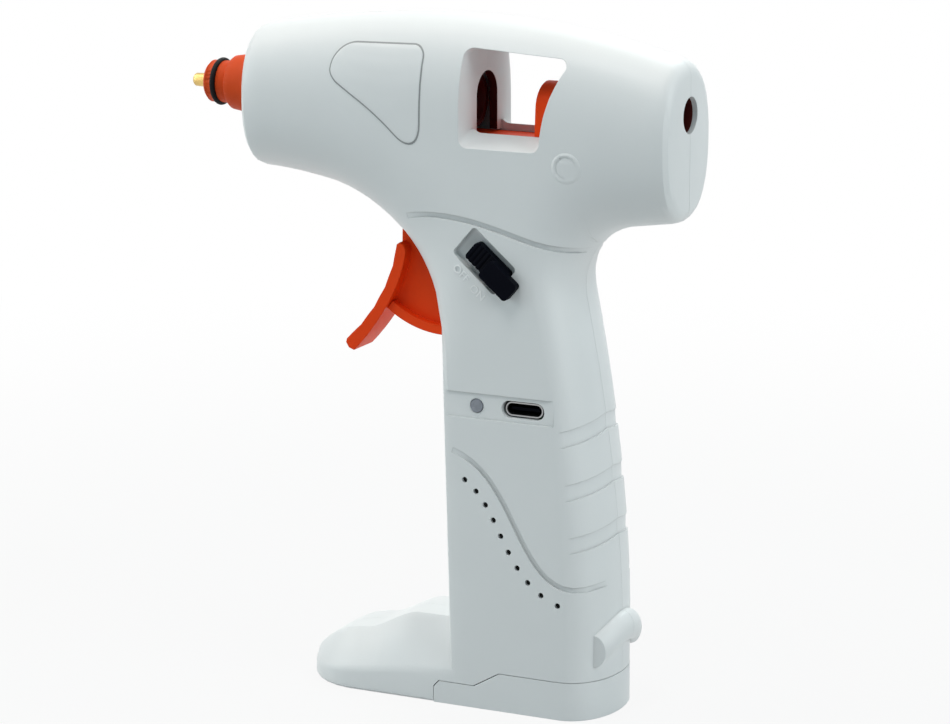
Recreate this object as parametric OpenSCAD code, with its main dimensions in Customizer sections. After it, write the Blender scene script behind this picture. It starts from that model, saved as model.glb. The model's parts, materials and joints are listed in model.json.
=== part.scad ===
// Cordless hot glue applicator: a pistol-shaped moulded housing in two halves, with a heated
// chamber and brass tip in front, a trigger that drives the stick feeder behind it, a slide
// switch, a charging port and a cell in the grip, and a foot to stand on.
// Frame: +X to the tip, +Y to the side with the switch, +Z up, base at Z = 0.

/* [Barrel] */
// Height of the stick axis above the base
axis_z = 134.5; // [131:0.5:138]
// Front face of the barrel
front_x = 50; // [48:0.5:54]
// Rear face of the barrel
rear_x = -53.6; // [-57:0.2:-52]
// Crown of the barrel above the stick axis
crown_rise = 19; // [18:0.25:21]
// Place of the crown along the barrel
crown_x = -2; // [-8:0.5:4]
// Fall of the crown line at the front face
crown_fall_front = 5.1; // [3:0.1:6]
// Fall of the crown line at the rear face
crown_fall_rear = 7.8; // [5:0.1:9]
// Belly of the barrel below the axis at the front face
belly_front = 17.8; // [17:0.1:19]
// Belly of the barrel below the axis where it meets the front of the grip
belly_neck = 20.3; // [19.6:0.1:21]
// Belly of the barrel below the axis at the rear face
belly_rear = 23.1; // [21:0.1:25]
// Belly of the barrel below the axis where it meets the back of the grip
belly_rear_neck = 24.9; // [24:0.1:26.5]
// Half width of the barrel at its crown
barrel_w = 13.6; // [13.2:0.1:15]
// Narrowing of the half width towards the front face
narrow_front = 1.5; // [0.5:0.1:2]
// Narrowing of the half width towards the rear face
narrow_rear = 0.9; // [0.2:0.1:2]
// Rounding of both end faces
rim_r = 2.6; // [1.5:0.1:3]
// Wall of the mouldings
wall = 2.4; // [2:0.1:2.6]
// Gap along the parting line of the two halves
seam_gap = 0.06; // [0.02:0.01:0.1]

/* [Grip] */
// Half width of the grip
grip_w = 14; // [13.5:0.1:15]
// Front of the grip below the trigger
grip_front = 0.6; // [0:0.1:2]
// Front of the grip at the base
grip_front_low = -1.6; // [-2.5:0.1:0]
// Back of the grip at its waist
grip_waist = -29.6; // [-31.6:0.2:-29]
// Back of the grip at the base
grip_heel = -39; // [-41:0.25:-38]
// Fillet between the barrel and the front of the grip
front_fillet = 40; // [38.5:0.25:41.5]
// Slope of the belly where that fillet begins
front_lean = 16; // [14:0.5:18]
// Fillet between the barrel and the back of the grip
rear_fillet = 14.2; // [12.5:0.25:15]
// Slope of the belly where that fillet begins
rear_lean = 8.8; // [6:0.2:10]
// Depth of the rounding on the front of the grip
grip_front_round = 4; // [3:0.25:6]
// Depth of the rounding on the back of the grip at the base
grip_rear_round = 9.4; // [8:0.2:11]
// Depth of the rounding on the back of the grip at its waist
grip_waist_round = 7; // [6:0.2:9]
// Number of grip channels across the back
channel_count = 3; // [2:1:3]
// Height of the lowest channel on the side of the grip
channel_z = 39.4; // [38:0.2:41]
// Spacing of the channels
channel_step = 11.8; // [11:0.1:12.5]
// Height of a channel
channel_h = 3.6; // [2.5:0.1:4]
// Rise of a channel from the side to the back
channel_rise = 2.6; // [1.5:0.1:3.5]
// Depth of a channel
channel_deep = 0.5; // [0.35:0.05:0.7]
// Height of the stop ridge on the heel, at its middle
ridge_z = 19.2; // [18:0.25:21]
// Fall of the stop ridge towards its ends
ridge_fall = 3.6; // [2:0.1:4]
// Half height of the stop ridge
ridge_r = 3.6; // [2.8:0.1:3.9]
// How far the stop ridge stands out
ridge_out = 2.8; // [2:0.1:4]
// Half length of the stop ridge across the heel
ridge_half = 10; // [8:0.25:11]

/* [Foot] */
// Tip of the toe
toe_x = 36.5; // [34:0.5:40]
// Length of the rounded toe seen from above
toe_round = 14; // [11:0.5:15]
// Height of the instep where it meets the grip
instep_z = 18.1; // [17:0.1:19]
// Middle of the slope from the instep to the toe cap
instep_x = 14.8; // [13.4:0.2:16]
// Length of that slope
instep_run = 14.5; // [12.5:0.25:16]
// Height of the toe cap behind its nose
toe_cap_z = 12.8; // [11.6:0.1:14.1]
// Half width of the flat top
plateau_half = 7.6; // [6.5:0.1:8.5]
// Height of the side wall at the grip
foot_side_z = 8.2; // [7.6:0.1:9]
// Height of the side wall at the toe
foot_side_toe = 3.2; // [2.6:0.1:3.6]
// Rounding of the side wall's upper edge
foot_edge_r = 1.4; // [0.8:0.1:2]
// Length of the rounded nose
nose_run = 14.5; // [12.5:0.25:16]
// Height of the nose
nose_z = 4.6; // [4.2:0.1:5.5]

/* [Window] */
// Front edge of the window
window_front = -5.2; // [-6:0.1:-4]
// Rear edge of the window at the sill
window_rear = -24.2; // [-25.4:0.1:-22.8]
// Lean of the rear edge at the top
window_lean = 5.2; // [4:0.1:6]
// Bulge of the rear edge into the window
window_bulge = 0.95; // [0.4:0.05:1.4]
// Sill below the stick axis
window_sill = 8.2; // [7.8:0.1:9]
// Top of the window above the stick axis
window_top = 13; // [12:0.1:13.5]
// Fall of the top edge towards the rear
window_fall = 1.2; // [0.5:0.1:1.6]
// Corner radius of the window
window_r = 2; // [1:0.1:2.5]
// Flare of the front edge, from the inner face to the skin
window_flare = 0.5; // [0.2:0.1:1]
// Rise of the sill, from the skin to the inner face
sill_rise = 2; // [1:0.1:2.3]
// Depth of the window frame below the skin
frame_deep = 5; // [4:0.1:5.5]
// Half width of the arch in the wall ahead of the window
arch_w = 5.3; // [4.8:0.1:6]
// Height of the arch's centre above the stick axis
arch_up = 1.4; // [0.5:0.1:2]
// Thickness of the wall ahead of the window
arch_wall = 1.9; // [1.5:0.1:2]

/* [Nozzle and chamber] */
// Bore for the glue stick
stick_r = 4; // [3.8:0.05:4.2]
// Tip of the nozzle
tip_x = 67.5; // [66:0.5:70]
// Radius of the brass tip
tip_r = 1.6; // [1.4:0.05:1.8]
// Radius of the outlet
outlet_r = 0.7; // [0.5:0.05:0.9]
// Radius of the nozzle's stem
stem_r = 3; // [2.8:0.05:3.2]
// Front end of the insulating sleeve
sleeve_front = 63.2; // [62:0.1:64]
// Radius of the sleeve where it leaves the barrel
sleeve_r = 7; // [6.6:0.05:7.4]
// Radius of the sleeve at its step
sleeve_step_r = 6.1; // [5.8:0.05:6.4]
// Radius of the sleeve's cap
sleeve_cap_r = 4.75; // [4.5:0.05:5]
// Length of the thick part of the sleeve ahead of the barrel
sleeve_thick = 7.2; // [6:0.1:8]
// Distance of the ring from the sleeve's front
ring_back = 2.7; // [2.4:0.1:3]
// Thickness of the ring
ring_d = 1.3; // [1:0.05:1.5]
// Radius of the melt chamber
chamber_r = 6.5; // [6.2:0.05:6.8]
// Rear end of the melt chamber's thick part
chamber_x = 11; // [10.8:0.1:12]
// Length of the spigot behind the chamber
spigot_len = 5; // [4:0.1:6]
// Radius of the spigot
spigot_r = 5; // [4.8:0.05:5.2]
// Radius of the inlet sleeve
inlet_r = 6.2; // [6:0.05:6.4]
// Rear end of the inlet sleeve
inlet_x = -3; // [-3.6:0.1:-2]
// Length of the heater block under the chamber
heater_len = 24; // [20:0.5:26]
// Half width of the heater block
heater_w = 5.5; // [5:0.1:6]
// Depth of the heater block below the axis
heater_drop = 11; // [10.5:0.1:11.3]
// Thickness of the heater plate
heater_plate_t = 2.2; // [1.8:0.05:2.5]
// How far the heater plate stands out of the block at each end
heater_out = 0.7; // [0.4:0.05:0.8]
// Thickness of the ribs that hold the chamber
cradle_t = 2; // [1.6:0.1:2]

/* [Trigger] */
// Trigger pivot along the barrel
pivot_x = 3; // [2:0.25:3.5]
// Trigger pivot below the stick axis
pivot_drop = 29.5; // [29:0.1:30]
// Radius of the pivot pin
pivot_r = 1.5; // [1.2:0.05:1.6]
// Half length of the pivot pin
pivot_half = 9.5; // [8:0.1:10]
// Radius of the trigger's hub
hub_r = 3.8; // [3.4:0.1:4]
// Half width of the trigger's hub
hub_half = 4.5; // [4:0.1:4.6]
// Radius of the trigger's lower rim about the pivot
trigger_rim_r = 23.2; // [22.4:0.1:24]
// Thickness of the rim
trigger_rim_t = 2.1; // [1.6:0.1:2.6]
// Half width of the rim
trigger_rim_w = 3.4; // [3:0.1:4]
// Half thickness of the trigger's web
web_half = 1.4; // [1:0.1:1.8]
// Half width of the finger paddle
paddle_half = 4.5; // [4:0.1:5]
// Number of finger ridges on the paddle
ridge_count = 5; // [3:1:7]
// Height of the finger ridges
ridge_high = 0.15; // [0.1:0.05:0.4]
// Pull of the trigger
trigger_pull = 24; // [18:1:26]

/* [Feeder] */
// Height of the trigger's fork above its pivot
lever = 16.5; // [16:0.1:17]
// Half thickness of the trigger's arm
arm_half = 2.8; // [2.2:0.1:3]
// Radius of the cross pin
cross_pin_r = 1.25; // [1:0.05:1.4]
// Floor of the feeder below the axis
floor_drop = 7.5; // [7.2:0.1:7.8]
// Thickness of the feeder's floor
floor_t = 2.6; // [2:0.1:2.8]
// Half width of the feeder
feeder_w = 7; // [6.6:0.1:7.2]
// Front end of the feeder's floor
feeder_front = 2.8; // [2.4:0.1:3]
// Rear end of the feeder
feeder_rear = -43; // [-44:0.25:-41]
// Front face of the feeder's upright
upright_x = -20.2; // [-21:0.1:-19.5]
// Length of the front upright
upright_len = 5; // [4:0.1:6]
// Length of the rear upright
rear_upright_len = 8; // [7:0.1:9]
// Top of the uprights above the axis
upright_rise = 5.4; // [4.6:0.1:6]
// Thickness of the gripper leaf
leaf_t = 0.5; // [0.4:0.05:0.7]
// Half width of the gripper leaf
leaf_half = 5; // [4.4:0.1:5.6]

/* [Switch] */
// Middle of the switch recess along the grip
switch_x = -11.5; // [-12.5:0.1:-11]
// Middle of the switch recess below the stick axis
switch_drop = 32.8; // [32:0.1:34]
// Slope of the switch
switch_tilt = 40.5; // [38:0.5:45]
// Length of the recess
recess_len = 13.5; // [13:0.1:14]
// Width of the recess
recess_w = 8.1; // [7.6:0.1:8.4]
// Corner radius of the recess
recess_r = 1; // [0.5:0.1:1.4]
// Depth of the recess
recess_deep = 1.9; // [1.5:0.1:2]
// Length of the knob
knob_len = 13.8; // [13:0.1:14]
// Width of the knob
knob_w = 4.7; // [4.4:0.1:5]
// Corner radius of the knob
knob_r = 0.9; // [0.5:0.1:1.2]
// Length of the knob's thumb block
thumb_len = 8.4; // [7.5:0.1:9]
// How far the thumb block stands out
thumb_out = 2; // [1.6:0.1:2.4]
// Travel of the knob
knob_travel = 2; // [1.5:0.1:2.2]
// Length of the switch body
switch_len = 11; // [10:0.2:12]
// Width of the switch body
switch_w = 6; // [5.4:0.1:6.6]
// Length of the switch's nub
nub_len = 2.6; // [2.2:0.1:2.8]
// Width of the switch's nub
nub_w = 2; // [1.6:0.1:2.2]

/* [Charging] */
// Middle of the port along the grip
port_x = -20.8; // [-21.5:0.1:-20]
// Height of the port and of the lamp
port_z = 69.3; // [68.5:0.1:70]
// Width of the port's metal shell
port_w = 8.94; // [8.8:0.02:9.1]
// Height of the port's metal shell
port_h = 3.16; // [3:0.02:3.3]
// Depth of the port's metal shell
port_deep = 7.3; // [6.8:0.1:7.6]
// Setback of the port behind the skin
port_back = 1.2; // [0.8:0.1:1.4]
// Place of the lamp along the grip
lamp_x = -9.7; // [-10.2:0.1:-9]
// Radius of the lamp
lamp_r = 1.5; // [1.4:0.05:1.55]
// Height of the shallow band round the port
band_h = 5.7; // [5.5:0.1:6.2]
// Depth of the shallow band
band_deep = 0.35; // [0.2:0.05:0.5]
// Thickness of the circuit board
board_t = 1.2; // [1:0.1:1.6]

/* [Cell and cover] */
// Radius of the cell
cell_r = 9.1; // [8.8:0.05:9.2]
// Length of the cell
cell_len = 49.5; // [48:0.25:50]
// Bottom of the cell
cell_z = 9.9; // [9.6:0.1:10.5]
// Axis of the cell
cell_x = -19.2; // [-19.8:0.1:-18.6]
// Front edge of the cover
cover_front = 0.8; // [0.4:0.1:1.2]
// Height of the cover at its front
cover_step = 5; // [4.5:0.1:5.3]
// Height of the cover at its back
cover_z = 8.6; // [8.2:0.1:8.9]
// Front end of the cover's slope
slope_x = -9.1; // [-9.5:0.1:-8.5]
// Rear end of the cover's slope
slope_end = -15.3; // [-16:0.1:-14.8]
// Thickness of the cover's floor
cover_floor = 2; // [1.6:0.1:2.2]
// Slide of the cover
cover_slide = 10; // [8:0.5:10.5]
// Thickness of the cell's contacts
contact_t = 0.4; // [0.3:0.05:0.5]
// Half width of the cell's contacts
contact_half = 3; // [2.4:0.1:3.4]

/* [Vents and screws] */
// Number of vent holes
vent_count = 10; // [8:1:11]
// Radius of a vent hole
vent_r = 0.65; // [0.5:0.05:0.75]
// Width of the styling grooves
groove_w = 1.25; // [0.9:0.05:1.5]
// Depth of the styling grooves
groove_deep = 0.55; // [0.4:0.05:0.7]
// Radius of the screw shanks
screw_r = 1.2; // [1:0.05:1.3]
// Radius of the screw heads
screw_head_r = 2.3; // [2.1:0.05:2.4]
// Radius of the screw bosses
boss_r = 3; // [2.9:0.05:3.3]
// Depth of the screw heads' seats below the middle
screw_seat = 7.5; // [7:0.1:8.5]
// Length of the screws in the other half
screw_bite = 6; // [5:0.1:6.5]
// Height of the screw heads
screw_head_h = 1.8; // [1.5:0.1:2.2]

/* [Fits] */
// Running clearance of pins and sliders
run_gap = 0.3; // [0.2:0.05:0.4]
// Clearance of seated pieces
seat_gap = 0.1; // [0.05:0.01:0.15]
// Running clearance of the pivot, on the radius
pivot_gap = 0.05; // [0.03:0.01:0.08]
// Clearance along the cover's seam
cover_gap = 0.15; // [0.1:0.05:0.2]

/* [Hidden] */
$fn = 48;

// Outline of the housing in the middle plane
front_meet_x = grip_front + front_fillet * (1 - sin(front_lean));
front_fillet_z = axis_z - belly_neck - front_fillet * cos(front_lean);
front_fillet_x = grip_front + front_fillet;
rear_fillet_x = grip_waist - rear_fillet;
rear_fillet_z = axis_z - belly_rear_neck - rear_fillet * cos(rear_lean);
rear_meet_x = rear_fillet_x + rear_fillet * sin(rear_lean);
waist_turn = 10;
waist_z = rear_fillet_z - rear_fillet * sin(waist_turn);
waist_x = rear_fillet_x + rear_fillet * cos(waist_turn);
heel_z = 20;
neck_front = [front_fillet_x - front_fillet * cos(45), front_fillet_z + front_fillet * sin(45)];
neck_rear = [rear_fillet_x + rear_fillet * cos(45), rear_fillet_z + rear_fillet * sin(45)];
neck_bulge = 4;
barrel_n = 2.3;
front_n = 3;
back_n = 2.1;

function clamp01(t) = max(0, min(1, t));
function mix(a, b, t) = a + (b - a) * t;
function ease(t) = let (c = clamp01(t)) c * c * (3 - 2 * c);
// A superellipse's ordinate at u, both from 0 to 1
function oval(u, n) = pow(max(0, 1 - pow(min(1, abs(u)), n)), 1 / n);
function end_share(x) = (x - crown_x) / ((x > crown_x ? front_x : rear_x) - crown_x);
function crown(x) =
    axis_z + crown_rise - (x > crown_x ? crown_fall_front : crown_fall_rear) * pow(end_share(x), 2);
function belly(x) =
    let (ahead = (front_x - x) / (front_x - front_meet_x),
        behind = (rear_meet_x - x) / (rear_meet_x - rear_x))
    x >= front_meet_x ? axis_z - mix(belly_front, belly_neck, pow(ahead, 1.8))
    : x <= rear_meet_x ? axis_z - mix(belly_rear_neck, belly_rear, behind)
    : axis_z - mix(belly_neck, belly_rear_neck, (front_meet_x - x) / (front_meet_x - rear_meet_x));
function barrel_half(x) = barrel_w - (x > crown_x ? narrow_front : narrow_rear) * pow(end_share(x), 2);
// Inset of a section by the rounding of the end faces
function rim_inset(x) =
    let (d = max(x - (front_x - rim_r), rear_x + rim_r - x, 0)) rim_r - sqrt(max(0,
        rim_r * rim_r - d * d));
function arc_rise(r, d) = sqrt(max(0, r * r - d * d));
// Lower edge of the barrel ahead of and behind the grip
function lower_edge(x) =
    x > neck_front[0] && x < front_meet_x ? front_fillet_z + arc_rise(front_fillet, x - front_fillet_x)
    : x < neck_rear[0] && x > rear_meet_x ? rear_fillet_z + arc_rise(rear_fillet, x - rear_fillet_x)
    : belly(x);
// Front and back edges of the grip at a height
function grip_front_at(z) =
    z > front_fillet_z ? front_fillet_x - arc_rise(front_fillet, z - front_fillet_z)
    : mix(grip_front_low, grip_front, z / front_fillet_z);
function grip_rear_at(z) =
    z > waist_z ? rear_fillet_x + arc_rise(rear_fillet, z - rear_fillet_z)
    : grip_heel + (waist_x - grip_heel) * pow(max(0, z - heel_z) / (waist_z - heel_z), 1.7);
function back_round(z) = mix(grip_rear_round, grip_waist_round,
    clamp01((z - heel_z / 2) / (waist_z - heel_z)));
// Half width of the grip over a point of the middle plane, drawn in by an inset
function grip_y(x, z, inset = 0) =
    let (xf = grip_front_at(z) - inset, xr = grip_rear_at(z) + inset)
    x >= xf || x <= xr ? 0
    : (grip_w - inset) * oval(1 - clamp01((xf - x) / grip_front_round), front_n)
      * oval(1 - clamp01((x - xr) / back_round(z)), back_n);
// Half height of the barrel less its rounded rim
function barrel_rise(x) = (crown(x) - belly(x)) / 2 - rim_inset(x);
// Rounding from the lower outline: along the barrel, round the fillet or along the grip
function front_turn(x, z) =
    let (a = atan2(z - front_fillet_z, front_fillet_x - x), s = ease(1 - a / 45),
         d = norm([x - front_fillet_x, z - front_fillet_z]) - front_fillet)
    a >= 90 - front_lean ? oval(1 - clamp01((z - belly(x) - rim_inset(x)) / barrel_rise(x)), barrel_n)
    : a <= 0 ? oval(1 - clamp01((grip_front_at(z) - x) / grip_front_round), front_n)
    : oval(1 - clamp01(d / mix(barrel_rise(x) * cos(front_lean), grip_front_round, s)), mix(barrel_n,
        front_n, s));
function rear_turn(x, z) =
    let (a = atan2(z - rear_fillet_z, x - rear_fillet_x),
        s = ease((90 - rear_lean - a) / (90 - rear_lean + waist_turn)),
         d = norm([x - rear_fillet_x, z - rear_fillet_z]) - rear_fillet)
    a >= 90 - rear_lean ? oval(1 - clamp01((z - belly(x) - rim_inset(x)) / barrel_rise(x)), barrel_n)
    : a <= -waist_turn ? oval(1 - clamp01((x - grip_rear_at(z)) / back_round(z)), back_n)
    : oval(1 - clamp01(d / mix(barrel_rise(x) * cos(rear_lean), back_round(z), s)), mix(barrel_n,
        back_n, s));
function crown_turn(x, z) = oval(clamp01((z - (crown(x) + belly(x)) / 2) / barrel_rise(x)), barrel_n);
// Half width of the housing over a point of the middle plane
function housing_y(x, z) =
    let (half = mix(grip_w, barrel_half(x) - rim_inset(x), ease((z - waist_z) / 20)))
    max(seam_gap / 2, half * front_turn(x, z) * rear_turn(x, z) * crown_turn(x, z));

// Mesh of one half of the housing: stations along the barrel, rungs down the grip
across = 16;
neck_n = 20;
nose_xs = [for (a = [90, 60, 30]) front_x - rim_r + rim_r * sin(a)];
front_xs = concat([for (i = [0:7]) mix(front_x - rim_r, front_meet_x, i / 8)],
                  [for (i = [0:5]) front_fillet_x - front_fillet * cos(mix(90 - front_lean, 45, i / 6))]);
neck_xs = [for (k = [0:neck_n]) mix(neck_front[0], neck_rear[0], (1 - cos(180 * k / neck_n)) / 2)];
rear_xs = concat([for (i = [1:5]) rear_fillet_x + rear_fillet * cos(mix(45, 90 - rear_lean, i / 5))],
                 [for (i = [1:4]) mix(rear_meet_x, rear_x + rim_r, i / 4)]);
rung_zs = concat([for (i = [1:6]) rear_fillet_z + rear_fillet * sin(mix(45, -waist_turn, i / 6))],
                 [for (i = [1:13]) waist_z * (1 - i / 13)]);
rung_n = len(rung_zs);
tail_xs = [for (a = [30, 60, 90]) rear_x + rim_r - rim_r * sin(a)];
station_xs = concat(nose_xs, front_xs, neck_xs, rear_xs, tail_xs);
neck_a = len(nose_xs) + len(front_xs);
neck_b = neck_a + neck_n;
station_n = len(station_xs) - 1;
function neck_z(k) = mix(neck_front[1], neck_rear[1], k / neck_n) + neck_bulge * sin(180 * k / neck_n);
function station_low(i) =
    i > neck_a && i < neck_b ? neck_z(i - neck_a)
    : i == neck_a ? neck_front[1]
    : i == neck_b ? neck_rear[1]
    : lower_edge(station_xs[i]) + rim_inset(station_xs[i]);
function is_neck(i) = i > neck_a && i < neck_b;
function station_share(j) = (1 - cos(180 * j / across)) / 2;
function station_point(i, j) =
    let (x = station_xs[i], top = crown(x) - rim_inset(x), z = mix(top, station_low(i), station_share(j)),
         edge = j == 0 || (j == across && !is_neck(i)))
    [x, edge ? seam_gap / 2 : housing_y(x, z), z];
function rung_point(r, k) =
    let (t = 1 - rung_zs[r - 1] / neck_rear[1], s = (1 - cos(180 * k / neck_n)) / 2,
        zf = neck_front[1] * (1 - t), zr = neck_rear[1] * (1 - t),
         z = mix(zf, zr, s) + neck_bulge * pow(1 - t, 4) * sin(180 * k / neck_n),
         x = mix(grip_front_at(zf), grip_rear_at(zr), s))
    [x, k == 0 || k == neck_n ? seam_gap / 2 : housing_y(x, z), z];
housing_points = concat(
    [for (i = [0:station_n]) for (j = [0:across]) station_point(i, j)],
    [for (r = [1:rung_n]) for (k = [0:neck_n]) rung_point(r, k)],
    [for (k = [1:neck_n - 1]) [neck_xs[k], seam_gap / 2, neck_z(k)]]);
rung_base = (station_n + 1) * (across + 1);
seam_base = rung_base + rung_n * (neck_n + 1);
function at(i, j) = i * (across + 1) + j;
function rung(r, k) = r == 0 ? at(neck_a + k, across) : rung_base + (r - 1) * (neck_n + 1) + k;
function seam(i) = is_neck(i) ? seam_base + i - neck_a - 1 : at(i, across);
function quad(a, b, c, d) = [[a, b, c], [a, c, d]];
housing_faces = concat(
    [for (i = [0:station_n - 1]) for (j = [0:across - 1]) each quad(at(i, j), at(i + 1, j), at(i + 1,
        j + 1), at(i, j + 1))],
    [for (r = [0:rung_n - 1]) for (k = [0:neck_n - 1]) each quad(rung(r, k), rung(r, k + 1),
        rung(r + 1, k + 1), rung(r + 1, k))],
    [for (i = [0:station_n - 1]) each quad(at(i, 0), seam(i), seam(i + 1), at(i + 1, 0))],
    [for (k = [0:neck_n - 1]) [rung(1, 0), seam(neck_a + k + 1), seam(neck_a + k)]],
    [[rung(1, 0), rung(1, neck_n), seam(neck_b)]],
    [for (r = [1:rung_n - 1]) each quad(rung(r, 0), rung(r + 1, 0), rung(r + 1, neck_n), rung(r,
        neck_n))],
    [for (j = [1:across - 1]) [at(0, 0), at(0, j), at(0, j + 1)]],
    [for (j = [1:across - 1]) [at(station_n, 0), at(station_n, j + 1), at(station_n, j)]],
    [for (k = [1:neck_n - 1]) [rung(rung_n, 0), rung(rung_n, k), rung(rung_n, k + 1)]]);

// Solid between matching convex rings of points
module skin(rings) {
    n = len(rings[0]);
    last = len(rings) - 1;
    polyhedron([for (r = rings) each r], concat(
        [for (i = [0:last - 1]) for (j = [0:n - 1])
            each quad(i * n + j, (i + 1) * n + j, (i + 1) * n + (j + 1) % n, i * n + (j + 1) % n)],
        [for (j = [1:n - 2]) [0, j, j + 1]],
        [for (j = [1:n - 2]) [last * n, last * n + j + 1, last * n + j]]), convexity = 6);
}

// A drawing in the X-Z plane, extruded from y0 to y1
module side_slab(y0, y1) { translate([0, y1, 0]) rotate([90, 0, 0]) linear_extrude(y1 - y0) children(); }
// A shape turned about the stick axis, drawn with its length along X
module on_axis(x) { translate([x, 0, axis_z]) rotate([0, 90, 0]) children(); }
// A shape whose length runs along Y from a point of the middle plane
module across_y(x, y, z) { translate([x, y, z]) rotate([-90, 0, 0]) children(); }

module housing_half() { polyhedron(housing_points, housing_faces, convexity = 10); }

// Cavities of one half
cavity_n = 10;
function barrel_cavity_ring(x) =
    let (t = crown(x) - wall, b = belly(x) + wall, w = barrel_half(x) - wall)
    [for (j = [0:cavity_n]) let (a = 90 - 180 * j / cavity_n)
        [x, j == 0 || j == cavity_n ? -1 : w * pow(cos(a), 2 / 2.3),
            (t + b) / 2 + (t - b) / 2 * sign(sin(a)) * pow(abs(sin(a)), 2 / 2.3)]];
function grip_cavity_ring(z) =
    let (zz = min(z, waist_z), xf = grip_front_at(zz) - wall, xr = grip_rear_at(zz) + wall,
        w = grip_w - wall,
         df = grip_front_round, dr = back_round(zz))
    concat([[xf, -1, z]],
           [for (a = [20, 50, 90]) [xf - df * (1 - cos(a)), w * pow(sin(a), 0.7), z]],
           [for (a = [90, 65, 40, 15]) [xr + dr * (1 - cos(a)), w * pow(sin(a), 0.8), z]], [[xr, -1, z]]);
module cavity_half() {
    skin([for (x = [front_x - wall, 34, 18, 0, -18, -36, rear_x + wall]) barrel_cavity_ring(x)]);
    skin([for (z = [-1, heel_z, 38, 56, 74, waist_z,
        axis_z - belly_rear_neck + 8.3]) grip_cavity_ring(z)]);
}

// Foot of one half
function foot_top(x) =
    let (back = ease((x - instep_x + instep_run / 2) / instep_run),
         fore = clamp01(1 + (x - toe_x) / nose_run))
    mix(instep_z, toe_cap_z, back) - (toe_cap_z - nose_z) * pow(fore, 1.9);
function foot_half(x) = (grip_w - 0.05) * oval(max(0, x - toe_x + toe_round) / toe_round, 1.8);
function foot_edge(x) = min(mix(foot_side_z, foot_side_toe, clamp01(x / toe_x)), foot_top(x) - 1);
function foot_ring(x) =
    let (w = max(foot_half(x), 0.6), p = w * plateau_half / grip_w, low = foot_edge(x), top = foot_top(x),
         r = min(foot_edge_r, w / 4, low / 4))
    [[x, seam_gap / 2, 0], [x, w - 0.5, 0], [x, w, 0.5], [x, w, low - r],
     [x, w - 0.12 * r, low - 0.35 * r], [x, w - 0.45 * r, low + 0.3 * r],
     [x, mix(p, w, 0.08), mix(top, low, 0.1)], [x, p - 0.05 * w, top], [x, seam_gap / 2, top + 0.1]];
foot_xs = concat([-6, 3, 7], [for (i = [0:8]) 8.5 + 1.5 * i], [toe_x - toe_round],
                 [for (a = [14, 28, 42, 54, 65, 74, 81, 87]) toe_x - toe_round + toe_round * sin(a)]);
module foot_solid() { skin([for (x = foot_xs) foot_ring(x)]); }

// Seam of the battery cover, grown by g
module cover_outline(g) {
    polygon([[cover_front + g, -1], [cover_front + g, cover_step - 1.4 + g], [cover_front - 1.3 + g,
        cover_step + g],
             [slope_x + g / 2, cover_step + g], [slope_end + g / 2, cover_z + g], [grip_heel - 20,
                 cover_z + g], [grip_heel - 20, -1]]);
}

// Plan of the grip at a height
function grip_plan(z, inset) =
    let (xf = grip_front_at(z) - inset, xr = grip_rear_at(z) + inset, n = 20,
         half = [for (k = [0:2 * n]) let (x = mix(xf, xr, (1 - cos(90 * k / n)) / 2)) [x, grip_y(x, z,
             inset)]])
    concat(half, [for (k = [2 * n - 1:-1:1]) [half[k][0], -half[k][1]]]);

// Places and levels shared by several pieces
screw_places = [[31, axis_z - 14.5], [-46.5, axis_z - 17], [-24.5, axis_z - 48.5], [-6.4, port_z - 6.9]];
pivot_z = axis_z - pivot_drop;
fork_z = pivot_z + lever;
fork_x = pivot_x - lever * tan(trigger_pull / 2);
floor_z = axis_z - floor_drop;
rail_top = floor_z - floor_t - run_gap;
bay_half = hub_half + run_gap;
switch_z = axis_z - switch_drop;
board_top = port_z - port_h / 2;
board_low = board_top - board_t;
board_front = grip_front - 7.4;
board_rear = cell_x - 6.8;
board_edge = grip_w - wall - 0.4;
cell_top = cell_z + cell_len;
chamber_front = front_x - 3;
socket_len = 4;
heater_x = chamber_x + cradle_t + heater_out + 2 * run_gap;
skin_in = grip_w - wall;
mark_x = -30.5;
mark_z = axis_z - 11.2;
mark_y = housing_y(mark_x, mark_z);
recess_floor = grip_w - 0.2 - recess_deep;
tab_front = slope_end + 1.2;
tab_len = 6;
tab_out = skin_in - run_gap;

// A groove of the styling that follows the skin of one half
function path_dir(p, i) =
    let (a = p[max(0, i - 1)], b = p[min(len(p) - 1, i + 1)], d = b - a) d / norm(d);
module skin_groove(p) {
    skin([for (i = [0:len(p) - 1])
        let (d = path_dir(p, i), e = [d[1], -d[0]] * groove_w / 2, a = p[i] - e, b = p[i] + e,
             deep = groove_deep * min(1, 0.1 + 0.35 * min(i, len(p) - 1 - i)))
        [[a[0], housing_y(a[0], a[1]) - deep, a[1]], [b[0], housing_y(b[0], b[1]) - deep, b[1]],
         [b[0], grip_w + 2, b[1]], [a[0], grip_w + 2, a[1]]]]);
}
function bezier(a, b, c, d, t) =
    a * pow(1 - t, 3) + b * 3 * t * pow(1 - t, 2) + c * 3 * t * t * (1 - t) + d * pow(t, 3);
// The line where the barrel meets the grip, and the curve across the grip's side
neck_line = [for (k = [0:18])
    bezier([8.4, axis_z - 24.8], [-7.5, axis_z - 20.7], [-21.4, axis_z - 29.5], [-36, axis_z - 30.8],
        k / 18)];
side_curve = [for (k = [0:20])
    bezier([-3.9, 58.8], [-21.4, 53.7], [-18.6, 25.4], [-37.9, 30.5], k / 20)];
function vent_at(t) = bezier([-6.9, 52.3], [-16.1, 46.3], [-16, 30.7], [-29.4, 26.2], t);

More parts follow.
